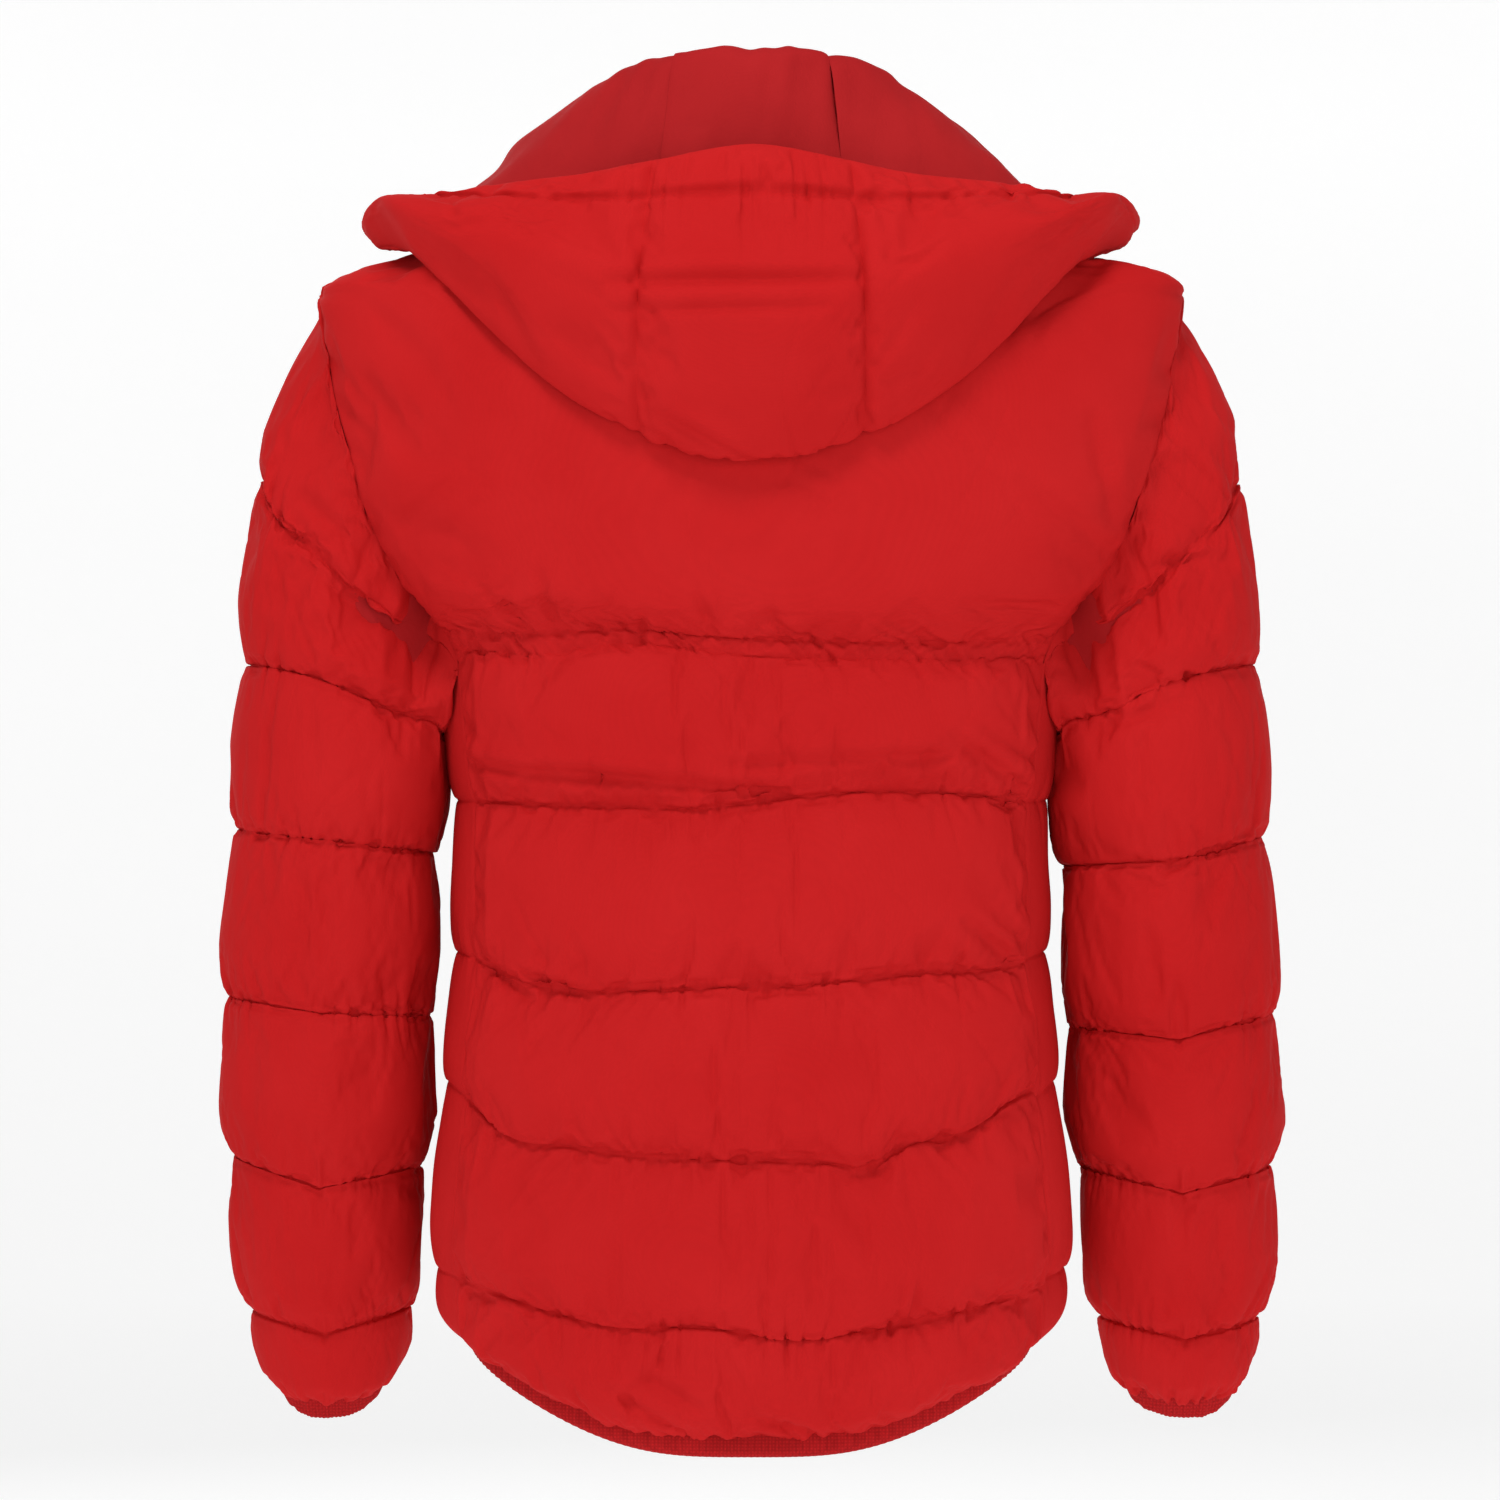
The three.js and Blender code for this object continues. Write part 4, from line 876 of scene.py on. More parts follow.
for side, sign, seed in (("left", 1, 51), ("right", -1, 67)):
    setup = sleeveQuilt
    if side == "right":
        sleeveShape["inX"] = [189, 182, 176, 175, 180, 185, 192, 202, 215]
        sleeveShape["outX"] = [246, 281, 292, 300, 304, 311, 312, 309, 298]
    turns = np.arange(setup["columns"]) * 360.0 / setup["columns"]
    lines = sleeveRows(turns, setup[side])
    rows, fraction, band = [], [], []
    for k, count in enumerate(setup["rows"]):
        for t in crowded(count):
            rows.append(lines[k] * (1 - t) + lines[k + 1] * t)
            fraction.append(t)
            band.append(k)
    rows.append(lines[-1])
    fraction.append(1.0)
    band.append(len(setup["rows"]) - 1)
    rows, fraction = np.array(rows), np.array(fraction)
    base, _ = sleeveSurface(turns, rows, 0.0, quilting["armholeSink"])
    outward = normalsOf(base, True)
    f = fraction[:, None]
    crown = sagged(1 - f) + 0 * rows
    # where two lines run together there is no room to puff
    heights = np.zeros_like(rows)
    for k in range(len(setup["rows"])):
        gap = np.linalg.norm(sleeveAt(turns, lines[k + 1]) - sleeveAt(turns, lines[k]), axis=1)
        heights[np.array(band) == k] = np.clip(gap / 60.0, 0.06, 1.0)
    fromInside = (turns + 180) % 360 / 360 * 460
    lift = (-setup["sink"] + setup["crown"] * crown) * heights - 1.0
    ring = np.broadcast_to(fromInside, rows.shape) + 100
    slow = softNoise(ring / 50.0, base[..., 2] / 34, seed + 2)
    slow = slow + 0.5 * softNoise(ring / 24.0, base[..., 2] / 20, seed + 3)
    lift += 1.4 * heights * crown * slow
    toLine = np.minimum(f, 1 - f) * 90 * heights
    fineX, fineHeight, toLine, fineFull = (denser(a, True) for a in (base[..., 0], base[..., 2], toLine, heights))
    fineTurns = np.arange(fineX.shape[1]) * 360.0 / fineX.shape[1]
    fineRing = np.broadcast_to((fineTurns + 180) % 360 / 360 * 460, fineX.shape) + 100
    behind = np.sin(np.radians(fineTurns))[None] < 0.2
    detail = setup["pucker"] * np.clip(fineFull, 0, 1) * puckers(fineRing, fineHeight, toLine, seed)
    detail += quilting["crease"] * wander(fineRing, fineHeight, seed + 20)
    detail -= 0.9 * foldDepth(fineX, fineHeight, sleeveFolds[side]) * behind
    gone = np.concatenate([[0 * turns], np.cumsum(np.linalg.norm(np.diff(base, axis=0), axis=2), axis=0)])
    beside = np.exp(-(gone / 13) ** 2)
    lift = lift * (1 - beside)
    cuffGather = np.exp(-(1 - rows) * 560 / 16)
    lift -= 3.0 * cuffGather
    detail += 2.2 * denser(cuffGather, True) * softNoise(fineRing / 7.5, 0 * fineRing, seed + 5)
    detail = detail * np.clip(denser(gone, True) / 5, 0, 1)
    base = base + outward * lift[..., None]
    if sign < 0:
        base = base * np.array([-1, 1, 1])
    hold = np.zeros_like(lift)
    hold[fraction == 0] = 1
    hold[-1] = 1
    hold[heights < 0.2] = 1
    quilt = gridPiece(side + "SleeveQuilt", base, redShell, wrapAround=True, flip=sign < 0)
    puffOut(quilt, hold.ravel(), setup)
    addDetail(quilt, hold.shape, detail, True, sign < 0)
    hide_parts(side + "_sleeve_head", side + "_sleeve_shell", side + "_sleeve_wadding")
    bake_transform(quilt)

    inner = np.linspace(0, 1, 46)[:, None] + 0 * turns[::2]
    lined, _ = sleeveSurface(turns[::2], inner, 13.0, 20.0)
    wrinkle = softNoise(np.broadcast_to(turns[::2] / 9.0, inner.shape), inner * 24, seed + 9)
    lined = lined + normalsOf(lined, True) * (wrinkle * 0.8)[..., None]
    if sign < 0:
        lined = lined * np.array([-1, 1, 1])
    lining = gridPiece(side + "SleeveLining", lined, redLining, wrapAround=True, flip=sign > 0)
    subdivided(lining)
    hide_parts(side + "_sleeve_lining")
    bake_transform(lining)

    # gathered elastic at the wrist
    cuff = {"ribs": 60, "height": 13.0, "deep": 5.0}
    count = cuff["ribs"] * 4
    around = np.arange(count) * 360.0 / count
    edge = sleeveAt(around, np.ones_like(around))
    lastRows = np.array([0.99, 0.995, 1.0])[:, None] + 0 * around
    edge = edge - normalsOf(sleeveAt(np.broadcast_to(around, (3, count)), lastRows), True)[1] * 8.0
    middle = edge.mean(0)
    inward = middle - edge
    inward /= np.linalg.norm(inward, axis=1, keepdims=True)
    down = sleeveAt(around, np.ones_like(around)) - sleeveAt(around, np.full_like(around, 0.97))
    down /= np.linalg.norm(down, axis=1, keepdims=True)
    section = [(-1.5, -5.0), (-1.2, -1.0), (-0.4, 3.0), (0.5, 8.0), (1.6, 12.0), (3.4, 13.6), (5.4, 12.6),
               (6.2, 9.0), (5.8, 4.0), (5.4, -2.0), (5.0, -6.0)]
    ribs = 0.7 * np.cos(np.arange(count) * 2 * np.pi / 4)[:, None] * inward
    pleat = 1.2 * softNoise(around / 11.0, 0 * around, seed + 12)[:, None] * inward
    rings = np.array([edge + inward * (d + 0.8) + down * h + ribs * (-3 < h) + pleat for d, h in section])
    if sign < 0:
        rings = rings * np.array([-1, 1, 1])
    band = gridPiece(side + "Cuff", rings, ribbedBinding, wrapAround=True, flip=sign < 0)
    subdivided(band)
    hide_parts(side + "_cuff_binding")
    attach(band, side + "_sleeve")
print("sleeves are made")


# The hood, thrown back.
hoodShape = {
    # [section of the body, lift, rise] behind, at the quarters, beside and ahead
    "stations": [
        [(10, 12, 4), (9.9, 12, 4), (9.76, 8, 2), (9.76, 8, 3)],
        [(9.9, 19, 52), (9.8, 19, 42), (9.5, 16, 16), (9.6, 15, 8)],
        [(7.6, 10, 0), (7.9, 10, 0), (9, 7, 2), (9.3, 7, 0)],
        [(6, 12, 0), (6.5, 11, 0), (8.2, 4, 0), (8.8, 5, 0)],
        [(6.5, 54, 28), (6.9, 44, 22), (7.95, 21, 2), (8.6, 22, 0)],
        [(8, 45, 45), (8, 37, 26), (8.5, 25, -13), (9, 27, -6)],
    ],
    "end": 146, "seam": 27,
    # the body's own widths, where the hood lies on it
    "half": [173, 186, 184, 170, 186, 207.6, 229.2, 232, 212, 153.2, 86],
}


def hoodBody(u, v):
    kept = bodyShape["half"]
    bodyShape["half"] = hoodShape["half"]
    made = bodyAt(u, v)
    bodyShape["half"] = kept
    return made


def hoodAt(u, v):
    turn = np.abs(u - 90)
    place = np.where(turn < 90, turn / 45, 2 + (turn - 90) / (hoodShape["end"] - 90))
    spots = []
    for behind, quarter, beside, ahead in hoodShape["stations"]:
        at = [smoothCurve([quarter[i], behind[i], quarter[i], beside[i], ahead[i]], (place + 1) / 4)
              for i in range(3)]
        row = at[0] / 10
        near = np.minimum(row, 0.999)
        across = hoodBody(u + 0.05, near) - hoodBody(u - 0.05, near)
        along = hoodBody(u, near + 0.001) - hoodBody(u, near - 0.001)
        away = np.cross(across, along)
        away /= np.linalg.norm(away, axis=-1, keepdims=True)
        spot = hoodBody(u, row) + away * at[1][..., None]
        spot[..., 2] += at[2]
        spots.append(spot)
    spots = np.array(spots)
    last = len(spots) - 1
    x = np.clip(v, 0, 1) * last
    i = np.clip(np.floor(x).astype(int), 0, last - 1)
    f = (x - i)[..., None]
    pick = lambda k: np.take_along_axis(spots, np.clip(k, 0, last)[None, ..., None], 0)[0]
    b, c = pick(i), pick(i + 1)
    a = np.where((i > 0)[..., None], pick(i - 1), 2 * b - c)
    d = np.where((i + 2 <= last)[..., None], pick(i + 2), 2 * c - b)
    return b + 0.5 * f * (c - a + f * (2 * a - 5 * b + 4 * c - d + f * (3 * (b - c) + d - a)))


hoodSetup = {
    "spare": 0.03, "pressure": 0.4, "frames": 12, "cap": 4, "bending": 0.2,
    "rows": 96, "sideColumns": 64, "centreColumns": 34,
}
hoodFolds = [  # over the outside of the hood, as (across, height)
    ((78, -68), (-60, -66), 2.6, 3.6), ((76, -84), (-40, -82), 1.6, 3.2), ((52, -140), (6, -163), 2.0, 3.5),
    ((-62, -138), (-66, -146), 2.0, 3.0), ((150, -60), (120, -112), 1.6, 5.0), ((-150, -66), (-122, -110), 1.6, 5.0),
    ((170, -26), (166, -30), 2.0, 3.0), ((-148, -8), (-146, -20), 2.6, 3.0), ((176, -38), (140, -32), 1.5, 4.0),
    ((-190, -30), (-150, -26), 1.5, 4.0), ((-62, -20), (-110, -26), 1.4, 3.5), ((66, -28), (30, -22), 1.2, 3.5),
]
hoodPanels = [
    ("hoodLeftPanel", 90 - hoodShape["end"], 90 - hoodShape["seam"], hoodSetup["sideColumns"], 81, "left"),
    ("hoodCentrePanel", 90 - hoodShape["seam"], 90 + hoodShape["seam"], hoodSetup["centreColumns"], 83, "centre"),
    ("hoodRightPanel", 90 + hoodShape["seam"], 90 + hoodShape["end"], hoodSetup["sideColumns"], 87, "right"),
]
for name, first, last, columns, seed, part in hoodPanels:
    v = np.linspace(0, 1, hoodSetup["rows"] + 1)[:, None] + np.zeros((1, columns + 1))
    share = np.linspace(0, 1, columns + 1)[None]
    u = first + (last - first) * share + 0 * v
    base = hoodAt(u, v)
    outward = normalsOf(base)
    seamAway = np.minimum(share, 1 - share) * abs(last - first) * 2.6
    seam = np.clip(seamAway / 10, 0, 1) ** 0.6 + 0 * v
    brimAway = (1 - v) * 260
    brim = np.clip(brimAway / 5, 0, 1) ** 0.7
    hem = np.exp(-((brimAway - 14) / 2.2) ** 2)
    arc = u * 2.6
    lift = -2.4 + 3.2 * seam * brim - 1.8 * hem
    lift += 1.5 * (softNoise(arc / 55.0, v * 9, seed + 2) + 0.6 * softNoise(arc / 30.0, v * 17, seed + 3)) * seam
    fineSeam, fineBrim, fineV, fineArc = (denser(a + 0 * v) for a in (seamAway, brimAway, v, arc))
    fineX, fineZ = (denser(base[..., k] + 0 * v) for k in (0, 2))
    detail = 2.0 * puckers(fineV * 300, fineArc, fineSeam, seed)
    detail += 2.4 * puckers(fineArc + 400, fineBrim, np.abs(fineBrim - 14), seed + 1)
    detail -= 1.5 * np.exp(-((fineBrim - 14) / 1.5) ** 2)
    detail += 1.5 * wander(fineArc + 400, fineV * 260, seed + 20)
    detail -= 1.4 * foldDepth(fineX, fineZ, hoodFolds) * (fineV > 0.62)
    detail *= np.clip(fineSeam / 3, 0, 1)
    points = base + outward * lift[..., None]
    # the brim turns over to meet the lining
    edge = points[-1]
    up = points[-1] - points[-2]
    up /= np.linalg.norm(up, axis=1, keepdims=True)
    inn = -outward[-1]
    turned = [edge + up * 1.2 + inn * 1.5, edge + up * 1.2 + inn * 4.2,
              edge + up * -0.6 + inn * 6.0, edge + up * -5 + inn * 6.2]
    points = np.concatenate([points, np.array(turned)])
    hold = np.zeros(points.shape[:2])
    hold[0] = hold[-1] = 1
    hold[-5:] = 1
    hold[:, 0] = hold[:, -1] = 1
    hemRow = int(round((1 - 14 / 260) * hoodSetup["rows"]))
    hold[hemRow] = 0.9
    panel = gridPiece(name, points, redShell)
    puffOut(panel, hold.ravel(), hoodSetup)
    addDetail(panel, hold.shape, np.concatenate([detail, np.zeros((12, detail.shape[1]))]))
    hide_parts(f"hood_{part}_panel")
    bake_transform(panel)

    lined = base - outward * 6.2
    ripple = softNoise(arc / 26.0, v * 22, seed + 5) + 0.7 * softNoise(arc / 12.0 + v * 9, v * 12, seed + 6)
    crease = -1.4 * np.exp(-np.minimum(share, 1 - share) * 40)
    creased = 1.6 * wander(arc + 400, v * 260, seed + 30) * np.clip(np.minimum(share, 1 - share) * 14, 0, 1)
    uneven = (1.5 * ripple + creased) * np.clip(np.minimum(v, 1 - v) * 12, 0, 1) + 0.9 + crease
    lined = lined - outward * uneven[..., None]
    lining = gridPiece(name.replace("Panel", "Lining"), lined, redLining, flip=True)
    subdivided(lining)
    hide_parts(f"hood_{part}_lining")
    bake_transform(lining)
print("hood is made")


# Linings of the body.
linedPanels = [
    ("backLining", 60, "back_lining", False),
    ("leftFrontLining", 44, "left_front_lining", False),
    ("rightFrontLining", 44, "right_front_lining", True),
]
for name, columns, node, mirror in linedPanels:
    v = np.linspace(0.006, 1, 121)[:, None] + np.zeros((1, columns + 1))
    share = np.linspace(0, 1, columns + 1)[None]
    if "Front" in name:
        edge = np.where(v <= armhole["foot"], 20.0, -sideTurn(v))
        u = 270 + zipTurn(v) + (90 + edge - zipTurn(v)) * share
    else:
        u = sideTurn(v) + (backEdgeRight(v) - sideTurn(v)) * share
    base = bodyAt(u, v)
    outward = normalsOf(base)
    ripple = softNoise(u / 7.0, v * 26, 91) + 0.5 * softNoise(u / 3.0, v * 9, 92)
    base = base - outward * (20.5 + 1.1 * ripple)[..., None]
    if mirror:
        base = base * np.array([-1, 1, 1])
    lining = gridPiece(name, base, redLining, flip=not mirror)
    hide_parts(node)
    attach(lining, "jacket")
print("linings are made")


# Gathered elastic at the hem.
hemBand = {"ribs": 190, "height": 9.0}
count = hemBand["ribs"] * 4
start = float(zipTurn(np.array(0.0)))
turns = np.linspace(-90 + start, 270 - start, count + 1)
foot = bodyAt(turns, np.zeros_like(turns))
near = bodyAt(np.broadcast_to(turns, (3, count + 1)), np.array([0.0, 0.01, 0.02])[:, None] + 0 * turns)
flatOut = normalsOf(near)[0]
flatOut[:, 2] = 0
flatOut /= np.linalg.norm(flatOut, axis=1, keepdims=True)
section = [(-7.5, 5.0), (-8.0, 1.0), (-7.6, -2.0), (-7.8, -5.0), (-9.0, -7.6), (-11.5, -9.0), (-15.0, -8.8),
           (-17.6, -6.8), (-18.6, -3.0), (-18.8, 2.0), (-19.0, 6.0)]
rib = 0.45 * np.cos(np.arange(count + 1) * np.pi / 2)
rings = []
for depth, height in section:
    ring = foot + flatOut * (depth + rib * (height < 4))[:, None]
    ring[:, 2] += height
    rings.append(ring)
rings = np.array(rings)
ends = [ring.mean(0, keepdims=True) + 0 * ring for ring in (rings[:, :1], rings[:, -1:])]
rings = np.concatenate([ends[0], rings, ends[1]], 1)
hem = gridPiece("hemBinding", rings, ribbedBinding, flip=True)
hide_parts("hem_binding")
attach(hem, "jacket")


# The stand collar.
def collarAt(u, v):
    turn = np.radians(u)
    behind = np.sin(turn) > 0
    share = np.sin(turn) ** 2
    foot = bodyAt(u, np.ones_like(u))[..., 2] + 1
    top = 34 + (np.where(behind, 46.0, 20.0) - 34) * share
    z = foot + (top - foot) * v
    depth = np.where(behind, 78 - 4 * v, frontLine(z))
    radius = ovalRadius(turn, 86 - 2 * v, depth, 2.0)
    return np.stack([radius * np.cos(turn), radius * np.sin(turn), z], -1)


collarEdge = math.degrees(math.atan2(7, 98))
u = np.linspace(-90 + collarEdge, 270 - collarEdge, 121)[None] + np.zeros((19, 1))
v = np.linspace(0, 1, 19)[:, None] + np.zeros((1, 121))
base = collarAt(u, v)
outward = normalsOf(base)
bulge = -1.8 + 2.6 * np.clip(1 - np.abs(2 * v - 1) ** 3, 0, 1) ** 0.6 + 0.8 * softNoise(u / 9.0 + 20, v * 5, 95)
outer = base + outward * bulge[..., None]
over = [outer[-1] + np.array([0, 0, rise]) - outward[-1] * back for rise, back in ((1.4, 2.4), (1.0, 5.0), (0, 6.6))]
insideRows = [int(round(t * 18)) for t in np.linspace(0.97, 0, 16)]
inside = [base[k] - outward[k] * 7.6 for k in insideRows]
outerPiece = gridPiece("collarOutside", np.concatenate([outer, np.array(over)]), redShell)
subdivided(outerPiece)
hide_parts("collar_shell")
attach(outerPiece, "jacket")
innerPiece = gridPiece("collarInside", np.array(inside), redLining)
subdivided(innerPiece)
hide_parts("collar_lining")
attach(innerPiece, "jacket")
print("hem and collar are made")


# Zips, each from the place and size of its CAD solids.
def nodeMesh(name):
    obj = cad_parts[name]
    flat = np.zeros(len(obj.data.vertices) * 3)
    obj.data.vertices.foreach_get("co", flat)
    return flat.reshape(-1, 3)


# Long axis, wide axis and thin axis of a flat strip, from its own points.
def stripFrame(points):
    centre = (points.max(0) + points.min(0)) / 2
    around = points - points.mean(0)
    _, _, axes = np.linalg.svd(around, full_matrices=False)
    along, across = axes[0], axes[1]
    if along[2] < 0:
        along = -along
    thin = np.cross(along, across)
    local = (points - centre) @ np.stack([across, thin, along], 1)
    low, high = local.min(0), local.max(0)
    centre = centre + np.stack([across, thin, along], 1) @ ((low + high) / 2)
    return centre, across, thin, along, high - low


def placed(centre, across, thin, along, local):
    return centre + local[..., :1] * across + local[..., 1:2] * thin + local[..., 2:] * along


teethSetup = {"pitch": 0.00245, "height": 0.0014}


def teethPiece(name, node, material, body, bodyAcross):
    centre, across, thin, along, size = stripFrame(nodeMesh(node))
    if np.dot(across, bodyAcross) < 0:
        across, thin = -across, -thin
    count = int(size[2] / teethSetup["pitch"])
    vertices, faces = [], []
    half = teethSetup["height"] / 2
    w, t = size[0] / 2, size[1] / 2
    outline = [(-w, -0.35 * t), (-0.5 * w, -0.8 * t), (0.2 * w, -t), (0.8 * w, -t), (w, -0.6 * t)]
    outline += [(x, -y) for x, y in outline[::-1]]
    for k in range(count):
        z = -size[2] / 2 + (k + 0.5) * size[2] / count
        base = len(vertices)
        for level, shrink in ((-half, 0.8), (-half * 0.6, 1.0), (half * 0.6, 1.0), (half, 0.8)):
            for x, y in outline:
                vertices.append((x * shrink if abs(x) < w else x, y * shrink, z + level))
        n = len(outline)
        faces.append(tuple(base + i for i in range(n))[::-1])
        faces.append(tuple(base + 3 * n + i for i in range(n)))
        for ring in range(3):
            for i in range(n):
                a, b = base + ring * n + i, base + ring * n + (i + 1) % n
                faces.append((a, b, b + n, a + n))
    points = placed(centre, across, thin, along, np.array(vertices))
    obj = meshPiece(name, points, faces, material)
    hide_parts(node)
    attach(obj, body)
    return obj


def tapePiece(name, node, windows, material):
    centre, across, thin, along, size = stripFrame(nodeMesh(node))
    w, t, h = size[0] / 2, size[1] / 2, size[2] / 2
    strips = [(-w, w)] if not windows else [(-w, -w + windows), (w - windows, w)]
    vertices, faces = [], []
    for low, high in strips:
        columns, rows = 8, max(8, int(h / 0.004))
        section = []
        for i in range(columns + 1):
            x = low + (high - low) * i / columns
            ridge = 0.12 * t * math.cos(i * math.pi * 1.5)
            section.append((x, -t - ridge))
        section += [(x, -y) for x, y in section[::-1]]
        n = len(section)
        base = len(vertices)
        for j in range(rows + 1):
            z = -h + 2 * h * j / rows
            vertices += [(x, y + 0.0001 * math.sin(j * 0.9), z) for x, y in section]
        for j in range(rows):
            for i in range(n):
                a, b = base + j * n + i, base + j * n + (i + 1) % n
                faces.append((a, b, b + n, a + n))
        faces.append(tuple(base + i for i in range(n))[::-1])
        faces.append(tuple(base + rows * n + i for i in range(n)))
    obj = meshPiece(name, placed(centre, across, thin, along, np.array(vertices)), faces, material)
    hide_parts(node)
    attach(obj, "jacket")
    return obj


xAxis = np.array([1.0, 0, 0])
teethPiece("mainTeethLeft", "main_zip_left_teeth", toothPlastic, "jacket", xAxis)
teethPiece("mainTeethRight", "main_zip_right_teeth", toothPlastic, "jacket", -xAxis)
tapePiece("mainTapeLeft", "main_zip_left_tape", 0, zipTape)
tapePiece("mainTapeRight", "main_zip_right_tape", 0, zipTape)
for side, sign in (("left", 1), ("right", -1)):
    middle = {end: nodeMesh(f"{side}_pocket_zip_{end}_teeth").mean(0) for end in ("left", "right")}
    for end, other in (("left", "right"), ("right", "left")):
        teethPiece(f"{side}PocketTeeth_{end}", f"{side}_pocket_zip_{end}_teeth", toothPlastic, "jacket",
                   middle[end] - middle[other])
    tapePiece(f"{side}PocketTape", f"{side}_pocket_zip_tape", 0.0084, zipTape)


# A soft strip: flat, rounded at its edges, a little uneven, following a CAD strip.
def softStrip(name, node, material, unevenness, seed):
    centre, across, thin, along, size = stripFrame(nodeMesh(node))
    w, t, h = size[0] / 2, size[1] / 2, size[2] / 2
    columns, rows = 14, max(6, int(2 * h / 0.006))
    path = [(-w + 2 * w * i / columns, -t) for i in range(columns + 1)]
    path = np.array(path + [(x, -y) for x, y in path[::-1]])
    n = len(path)
    vertices = []
    for j in range(rows + 1):
        z = -h + 2 * h * j / rows
        wave = unevenness * softNoise(path[:, 0] * 1000 / 18, np.full(n, z * 1000 / 40), seed)
        vertices += [(x, y + s, z) for (x, y), s in zip(path, wave)]
    faces = gridFaces(rows + 1, n, True)
    faces += [tuple(range(n))[::-1], tuple(rows * n + i for i in range(n))]
    obj = meshPiece(name, placed(centre, across, thin, along, np.array(vertices)), faces, material)
    bevel = obj.modifiers.new("edge", "BEVEL")
    bevel.width = t * 0.6
    bevel.segments = 2
    applied(obj)
    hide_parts(node)
    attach(obj, "jacket")
    return obj


softStrip("windFlap", "wind_flap", redLining, 0.0003, 101)
softStrip("chinGuard", "chin_guard", redLining, 0.0001, 102)


# Pocket bags, hanger loop and label.
def bagPiece(name, node):
    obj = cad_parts[node]
    data = obj.data.copy()
    bag = bpy.data.objects.new(name, data)
    bpy.context.scene.collection.objects.link(bag)
    data.materials.clear()
    data.materials.append(redLining)
    weld = bag.modifiers.new("weld", "WELD")
    weld.merge_threshold = 0.0002
    smooth = bag.modifiers.new("fine", "SUBSURF")
    smooth.levels = smooth.render_levels = 2
    applied(bag)
    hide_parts(node)
    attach(bag, "jacket")


bagPiece("leftPocketBag", "left_pocket_bag")
bagPiece("rightPocketBag", "right_pocket_bag")

loopLow, loopHigh = (np.array(p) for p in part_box("hanger_loop"))
strap = {"thick": 0.0015, "corner": 0.004}
xs, top, bottom = loopHigh[0], loopHigh[2], loopLow[2]
corner = strap["corner"]
path = [(-xs, bottom + (top - corner - bottom) * a) for a in np.linspace(0, 1, 7)]
path += [(-xs + corner - corner * math.cos(a), top - corner + corner * math.sin(a))
         for a in np.linspace(0, math.pi / 2, 6)[1:]]
path += [(-xs + corner + (2 * xs - 2 * corner) * a, top) for a in np.linspace(0, 1, 16)[1:-1]]
half = [p for p in path if p[0] <= 0]
path = half + [(-x, z) for x, z in half[::-1] if x < -1e-6]
path = np.array(path)
tangent = np.gradient(path, axis=0)
tangent /= np.linalg.norm(tangent, axis=1, keepdims=True)
inwardWay = np.stack([tangent[:, 1], -tangent[:, 0]], 1)
y0, y1 = loopLow[1], loopHigh[1]
vertices = []
thick = strap["thick"]
strapSection = [(0, y0 + 0.0004), (0, y0 + 0.002), (0, (y0 + y1) / 2), (0, y1 - 0.002), (0, y1 - 0.0004),
                (0.0004, y1), (thick - 0.0004, y1), (thick, y1 - 0.0004), (thick, (y0 + y1) / 2),
                (thick, y0 + 0.0004), (thick - 0.0004, y0), (0.0004, y0)]
for (x, z), (nx, nz) in zip(path, inwardWay):
    vertices += [(x + nx * d, y, z + nz * d) for d, y in strapSection]
n = len(strapSection)
faces = gridFaces(len(path), n, True)
faces += [tuple(range(n))[::-1], tuple((len(path) - 1) * n + i for i in range(n))]
loop = meshPiece("hangerLoop", vertices, faces, ribbedBinding)
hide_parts("hanger_loop")
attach(loop, "jacket")

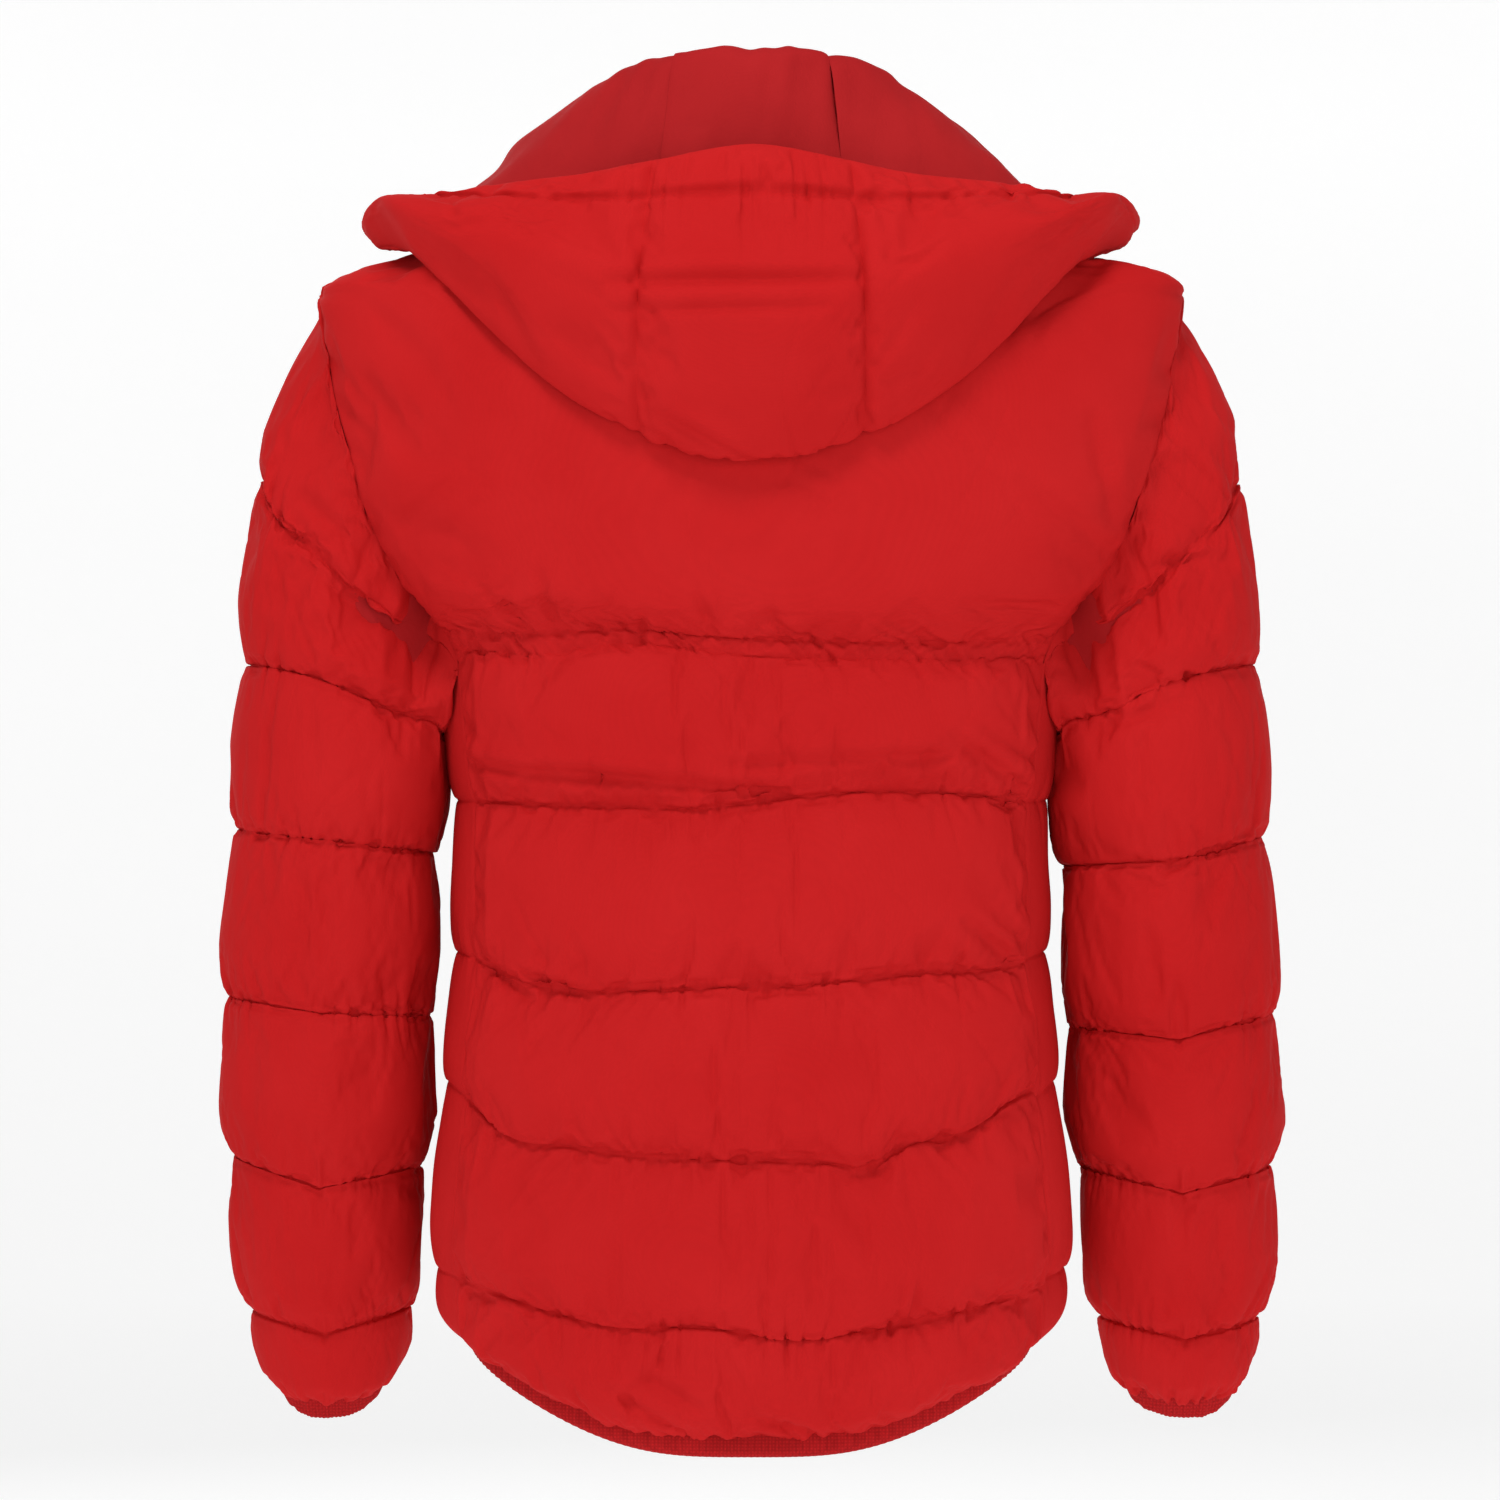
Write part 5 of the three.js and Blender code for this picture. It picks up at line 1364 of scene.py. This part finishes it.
u = np.linspace(76, 104, 29)[None] + np.zeros((15, 1))
v = np.linspace(0.84, 0.92, 15)[:, None] + np.zeros((1, 29))
base = hoodBody(u, v)
outward = normalsOf(base)
row, column = np.arange(15)[:, None], np.arange(29)[None]
border = np.minimum(np.minimum(row, 14 - row), np.minimum(column, 28 - column))
face = base - outward * (25.4 + 0.25 * (border >= 2))[..., None]
back = base - outward * 24.7
sheetPoints = np.concatenate([back[:1], face, back[-1:]])
labelPiece = gridPiece("neckLabel", sheetPoints, labelCloth, flip=True)
solid = labelPiece.modifiers.new("thick", "SOLIDIFY")
solid.thickness = 0.0004
solid.offset = 0
applied(labelPiece)
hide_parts("neck_label")
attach(labelPiece, "jacket")

for name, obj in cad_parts.items():
    if not obj.hide_render:
        obj.data.materials.clear()
        obj.data.materials.append(redMetal)
print("zips and small pieces are made")

# A round sheet of pale paper, curved up at its rim.
floorSetup = {"height": float(cadLow[2]) - 0.45, "radius": 7.5, "bend": 2.0, "wall": 4.5, "around": 72}
flat = floorSetup["radius"] - floorSetup["bend"]
profile = [(0.5, 0.0), (flat * 0.5, 0.0), (flat, 0.0)]
profile += [(flat + floorSetup["bend"] * math.sin(a), floorSetup["bend"] * (1 - math.cos(a)))
            for a in np.linspace(0, math.pi / 2, 13)[1:]]
profile += [(floorSetup["radius"], floorSetup["wall"])]
around = [2 * math.pi * k / floorSetup["around"] for k in range(floorSetup["around"])]
vertices = [(reach * math.cos(a), reach * math.sin(a), floorSetup["height"] + rise)
            for reach, rise in profile for a in around]
faces = gridFaces(len(profile), floorSetup["around"], True, True) + [list(range(floorSetup["around"]))]
paper, nodes, links = newMaterial("palePaper")
paperShader = nodes["Principled BSDF"]
paperShader.inputs["Roughness"].default_value = 0.95
paperShader.inputs["Specular IOR Level"].default_value = 0.0
grain = noiseNode(nodes, 3.0)
ramp = nodes.new("ShaderNodeValToRGB")
ramp.color_ramp.elements[0].color = (0.49, 0.49, 0.49, 1)
ramp.color_ramp.elements[1].color = (0.52, 0.52, 0.52, 1)
link(links, grain, "Fac", ramp, "Fac")
link(links, ramp, "Color", paperShader, "Base Color")
link(links, ramp, "Color", paperShader, "Emission Color")
paperShader.inputs["Emission Strength"].default_value = 1.3
floor = meshPiece("paleFloor", vertices, faces, paper)
